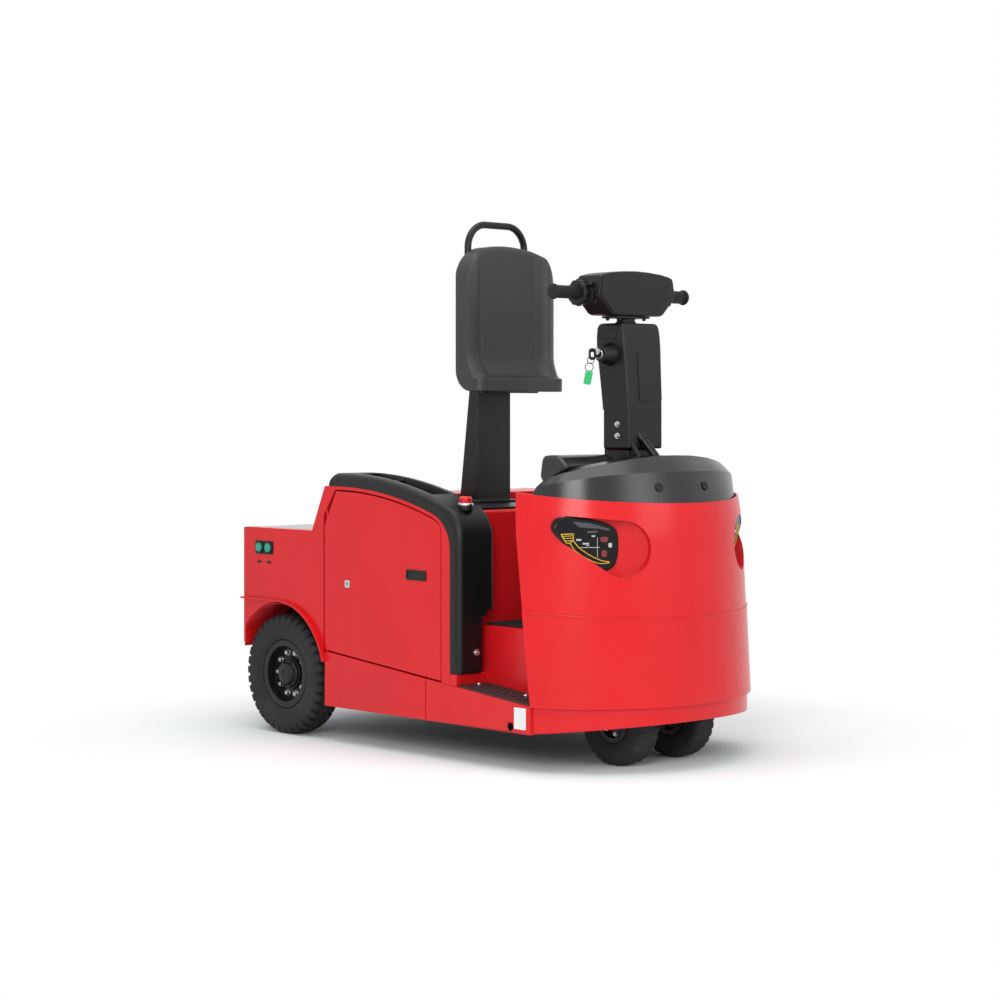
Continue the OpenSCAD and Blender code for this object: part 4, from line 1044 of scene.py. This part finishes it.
def cover_loop(inner, outer, x):
    """A section from the flank over the round edge and the tray to the inner edge."""
    (ix, iz), (ox, oz) = inner, outer
    begun = min(1.0, (x - COVER_X0) / 24)
    rise = min(1.0, 0.35 + 0.65 * sqrt(max(0.0, 1 - (1 - begun) ** 2)))
    if iz < 290:
        rise = 1 - (290 - iz) * 0.012
    edge = -330.0 if iz > 478 else (-376.0 if iz < 466 else -353.0)
    tray = 0.75 if 678 < x < 688 else (0.27 if 570 < x < 897 else 1.0)
    brink = 1 - (1 - tray) * 0.25
    section = [(-HALF_WIDTH, 0.0), (-HALF_WIDTH, 0.25), (-HALF_WIDTH, 0.5)]
    section += [(-HALF_WIDTH + 22 * (1 - cos(a)), 0.5 + 0.5 * sin(a)) for a in quarter(6)[1:]]
    section += [(-447, 1.0), (-444, brink), (-441, tray), (edge - 50, tray), (edge - 34, tray),
                (edge - 31, brink), (edge - 28, 1.0)]
    section += [(edge - 14 + 14 * sin(a), 1 - 0.32 * (1 - cos(a))) for a in quarter(5)]
    section += [(edge, 0.3), (edge, 0.0)]
    return [(ix + (ox - ix) * h * rise, y, iz + (oz - iz) * h * rise) for y, h in section]


shell = piece("shoulder_shell", lofted([cover_loop(*row) for row in spine]), "black_plastic", split=38)
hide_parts("shoulder_cover")

# %% [markdown]
# ## Stop button
# A silver collar on a black foot carries the stop button, and one bolt holds the foot of the black cover.
# They are turned shapes, as the real ones are.

# %% Stop button collar and cover bolt
STOP = (1070, -410, 818)
ring = turned([(17.5, 0), (25, 0), (25.5, 3), (24, 7), (21, 8.5), (17.5, 8.5)], 36, True)
foot = turned([(25.5, -16), (27, -4), (25.5, 0), (16, 0.2)], 32)
piece("stop_foot", placed(foot, STOP), "black_plastic", 0.5)
piece("stop_collar", placed(ring, STOP), "bright_steel", 0.4)
bolt = joined(turned([(12, 0), (12, 1.5), (10, 2)], 24), placed(nut(7.5, 6, 9), (0, 0, 1.5)))
piece("cover_bolt", placed(bolt, (LEG_X1, -408, 347), (1, 0, 0)), "bright_steel", 0.5)

# %% [markdown]
# ## The rear
# Nothing of the rear shows in the photograph. Lamp bezels, hitch bolts and pulls in the deck plate finish
# it in the way these machines are commonly made.

# %% Lamp bezels, hitch bolts and deck pulls
DECK_Z = 711
bezel = turned([(38.3, 0), (48, 0), (48, 5), (45, 9), (40, 10), (38.3, 9)], 40, True)
bezels = copies(bezel, [(0, y, 610) for y in (-390, 390)], (-1, 0, 0))
piece("tail_bezels", bezels, "black_plastic", 0.5)
nuts = copies(nut(10, 9, 14), [(-14, y, z) for y in (-70, 70) for z in (285, 412)], (-1, 0, 0))
piece("hitch_nuts", nuts, "bright_steel", 1.0)
pull = joined(turned([(17, -0.3), (25, -0.3), (25, 1.2), (23, 2.2), (18, 2.2), (17, 1.4)], 32, True),
              turned([(17.2, -0.3), (17.2, 0.5), (0.4, 0.5)], 24), plate(34, 7, 3, 0.4, 2.6))
piece("deck_pulls", copies(pull, [(330, y, DECK_Z) for y in (-360, 360)]), "black_plastic", 0.4)

# %% [markdown]
# ## Arch liners
# Red sheet lines the rear of each wheel arch. Its path is the arch's own arc and a short drop behind it,
# and a second line two millimetres inside gives the sheet its thickness.

# %% Arch liners
ARCH_R, SHEET_MM = 247, 2
path = [polar(ARCH_R, radians(degrees), AXLE_X, REAR_R) for degrees in range(70, 146, 5)]
path += [(1.8, 335), (1.8, 315), (1.8, 292)]
inside = []
for i, (x, z) in enumerate(path):
    before, after = path[max(0, i - 1)], path[min(len(path) - 1, i + 1)]
    run = Vector((after[0] - before[0], after[1] - before[1])).normalized()
    inside.append((x - SHEET_MM * run.y, z + SHEET_MM * run.x))
piece("arch_liners", on_flanks(extruded(path + inside[::-1], 0, 138), 0, 0, 344), "body_red", split=30)

# %% [markdown]
# ## Bead, lashing holes and deck edges
# A small bead marks where the two halves of the cowl meet, and it follows the nose by the same arcs as the
# dash. Black sleeves put painted shade into the lashing holes, red strips edge the bright deck plate, and
# thin black strips beside them are painted shade for the gaps.

# %% Cowl bead
BEAD_Z, BEAD_FALL = 504.5, tan(radians(4.2))


def bead_at(angle):
    x, y = nose_point(angle, 4.8)
    return (x, y, BEAD_Z - (x - SLOPE_X) * BEAD_FALL)


piece("cowl_bead", swept([bead_at(angle) for angle in range(-74, 75, 2)], 3.4, 8), "body_red")

# %% Lashing holes and deck edges
# The black disc and sleeve are painted shade: they darken the bores of the lashing holes.
shade_sleeve = joined(turned([(22, 0), (22, 2), (0.4, 2)], 24),
                turned([(11.8, 2.2), (12.3, 2.2), (12.3, 25), (11.8, 25)], 24, True))
piece("lashing_painted_shade", on_flanks(shade_sleeve, 1352, 140, 458), "black_steel")
# The thin black strips are painted shade for the gaps between the deck plate and its red borders.
for name, width, height, radius, y, finish, edge in (("deck_borders", 50, 1.5, 2, 456, "body_red", 0.4),
                                                     ("deck_gap_painted_shade", 5, 0.9, 1, 428.5, "black_steel", 0)):
    strip = plate(424, width, radius, 0, height)
    piece(name, copies(strip, [(216, -y, DECK_Z), (216, y, DECK_Z)]), finish, edge)

# %% [markdown]
# ## Floor and background
# The machine stands on a pale studio floor. The floor keeps its shadow close in and fades to plain
# white further out, so no horizon shows.

# %% Stage
SKY_POWER, FLOOR_M, SHADOW_M, WHITE_M = 0.55, 40, 0.95, 1.8
scene = bpy.context.scene
scene.view_settings.view_transform = "Standard"


def seen(tree):
    """1 for rays from the camera, off a gloss or through glass."""
    path = tree.nodes.new("ShaderNodeLightPath")
    camera_ray, gloss, glass = (Sock(path.outputs[k]) for k in
                                ("Is Camera Ray", "Is Glossy Ray", "Is Transmission Ray"))
    return (camera_ray + gloss + glass) > 0.5


def mix_into(output, factor, first, second):
    """Shows first where the factor is 0 and second where it is 1."""
    tree = output.id_data
    blend = tree.nodes.new("ShaderNodeMixShader")
    feed(blend.inputs[0], factor)
    tree.links.new(first.outputs[0], blend.inputs[1])
    tree.links.new(second.outputs[0], blend.inputs[2])
    tree.links.new(blend.outputs[0], output.inputs[0])


world = bpy.data.worlds.new("studio")
scene.world = world
world.use_nodes = True
tree = world.node_tree
back = tree.nodes["Background"]
white = tree.nodes.new("ShaderNodeBackground")
fill(white.inputs, {"Color": (1, 1, 1, 1)})
fill(back.inputs, {"Color": (0.96, 0.98, 1.0, 1), "Strength": SKY_POWER})
mix_into(tree.nodes["World Output"], seen(tree), back, white)

mat, shader, place = new_finish("studio_floor")
tree = mat.node_tree
fill(shader, {"Base Color": (0.905, 0.95, 0.95, 1), "Roughness": 0.9, "Specular IOR Level": 0.0})
glow = tree.nodes.new("ShaderNodeEmission")
fill(glow.inputs, {"Strength": 1.0})
away = place.node("VectorMath", {0: place}, {"operation": "LENGTH"}, 1).fit(SHADOW_M, WHITE_M)
mix_into(tree.nodes["Material Output"], away * seen(tree), tree.nodes["Principled BSDF"], glow)
mesh = bpy.data.meshes.new("floor")
corners = [(x * FLOOR_M, y * FLOOR_M, 0) for x, y in ((-1, -1), (1, -1), (1, 1), (-1, 1))]
mesh.from_pydata(corners, [], [(0, 1, 2, 3)])
floor = add("floor", mesh)
mesh.materials.append(mat)
print("floor and background ready")

# %% [markdown]
# ## Soft boxes
# Large area lights stand above, ahead and at the right front, as in a photo studio. Their size keeps the
# edges of the shadows soft.


# %% Lights
def soft_box(name, where, target, size, power, spread=1.0):
    lamp = bpy.data.lights.new(name, "AREA")
    lamp.shape, lamp.size, lamp.size_y, lamp.energy = "RECTANGLE", size, size * spread, power
    box = add(name, lamp)
    box.location = where
    aim(box, Vector(target) - Vector(where))


soft_box("box_top", (0.5, -1.0, 5.2), (0, 0, 0.5), 4.5, 130)
soft_box("box_front", (5.5, 0.6, 2.6), (0.3, 0, 0.6), 2.4, 60, 1.3)
soft_box("box_fill", (3.2, -4.1, 2.3), (0.2, -0.1, 0.5), 2.0, 105)
print("three soft boxes ready")

# %% [markdown]
# ## Last update
# The view layer is brought up to date once more.

# %% Update the view layer
bpy.context.view_layer.update()
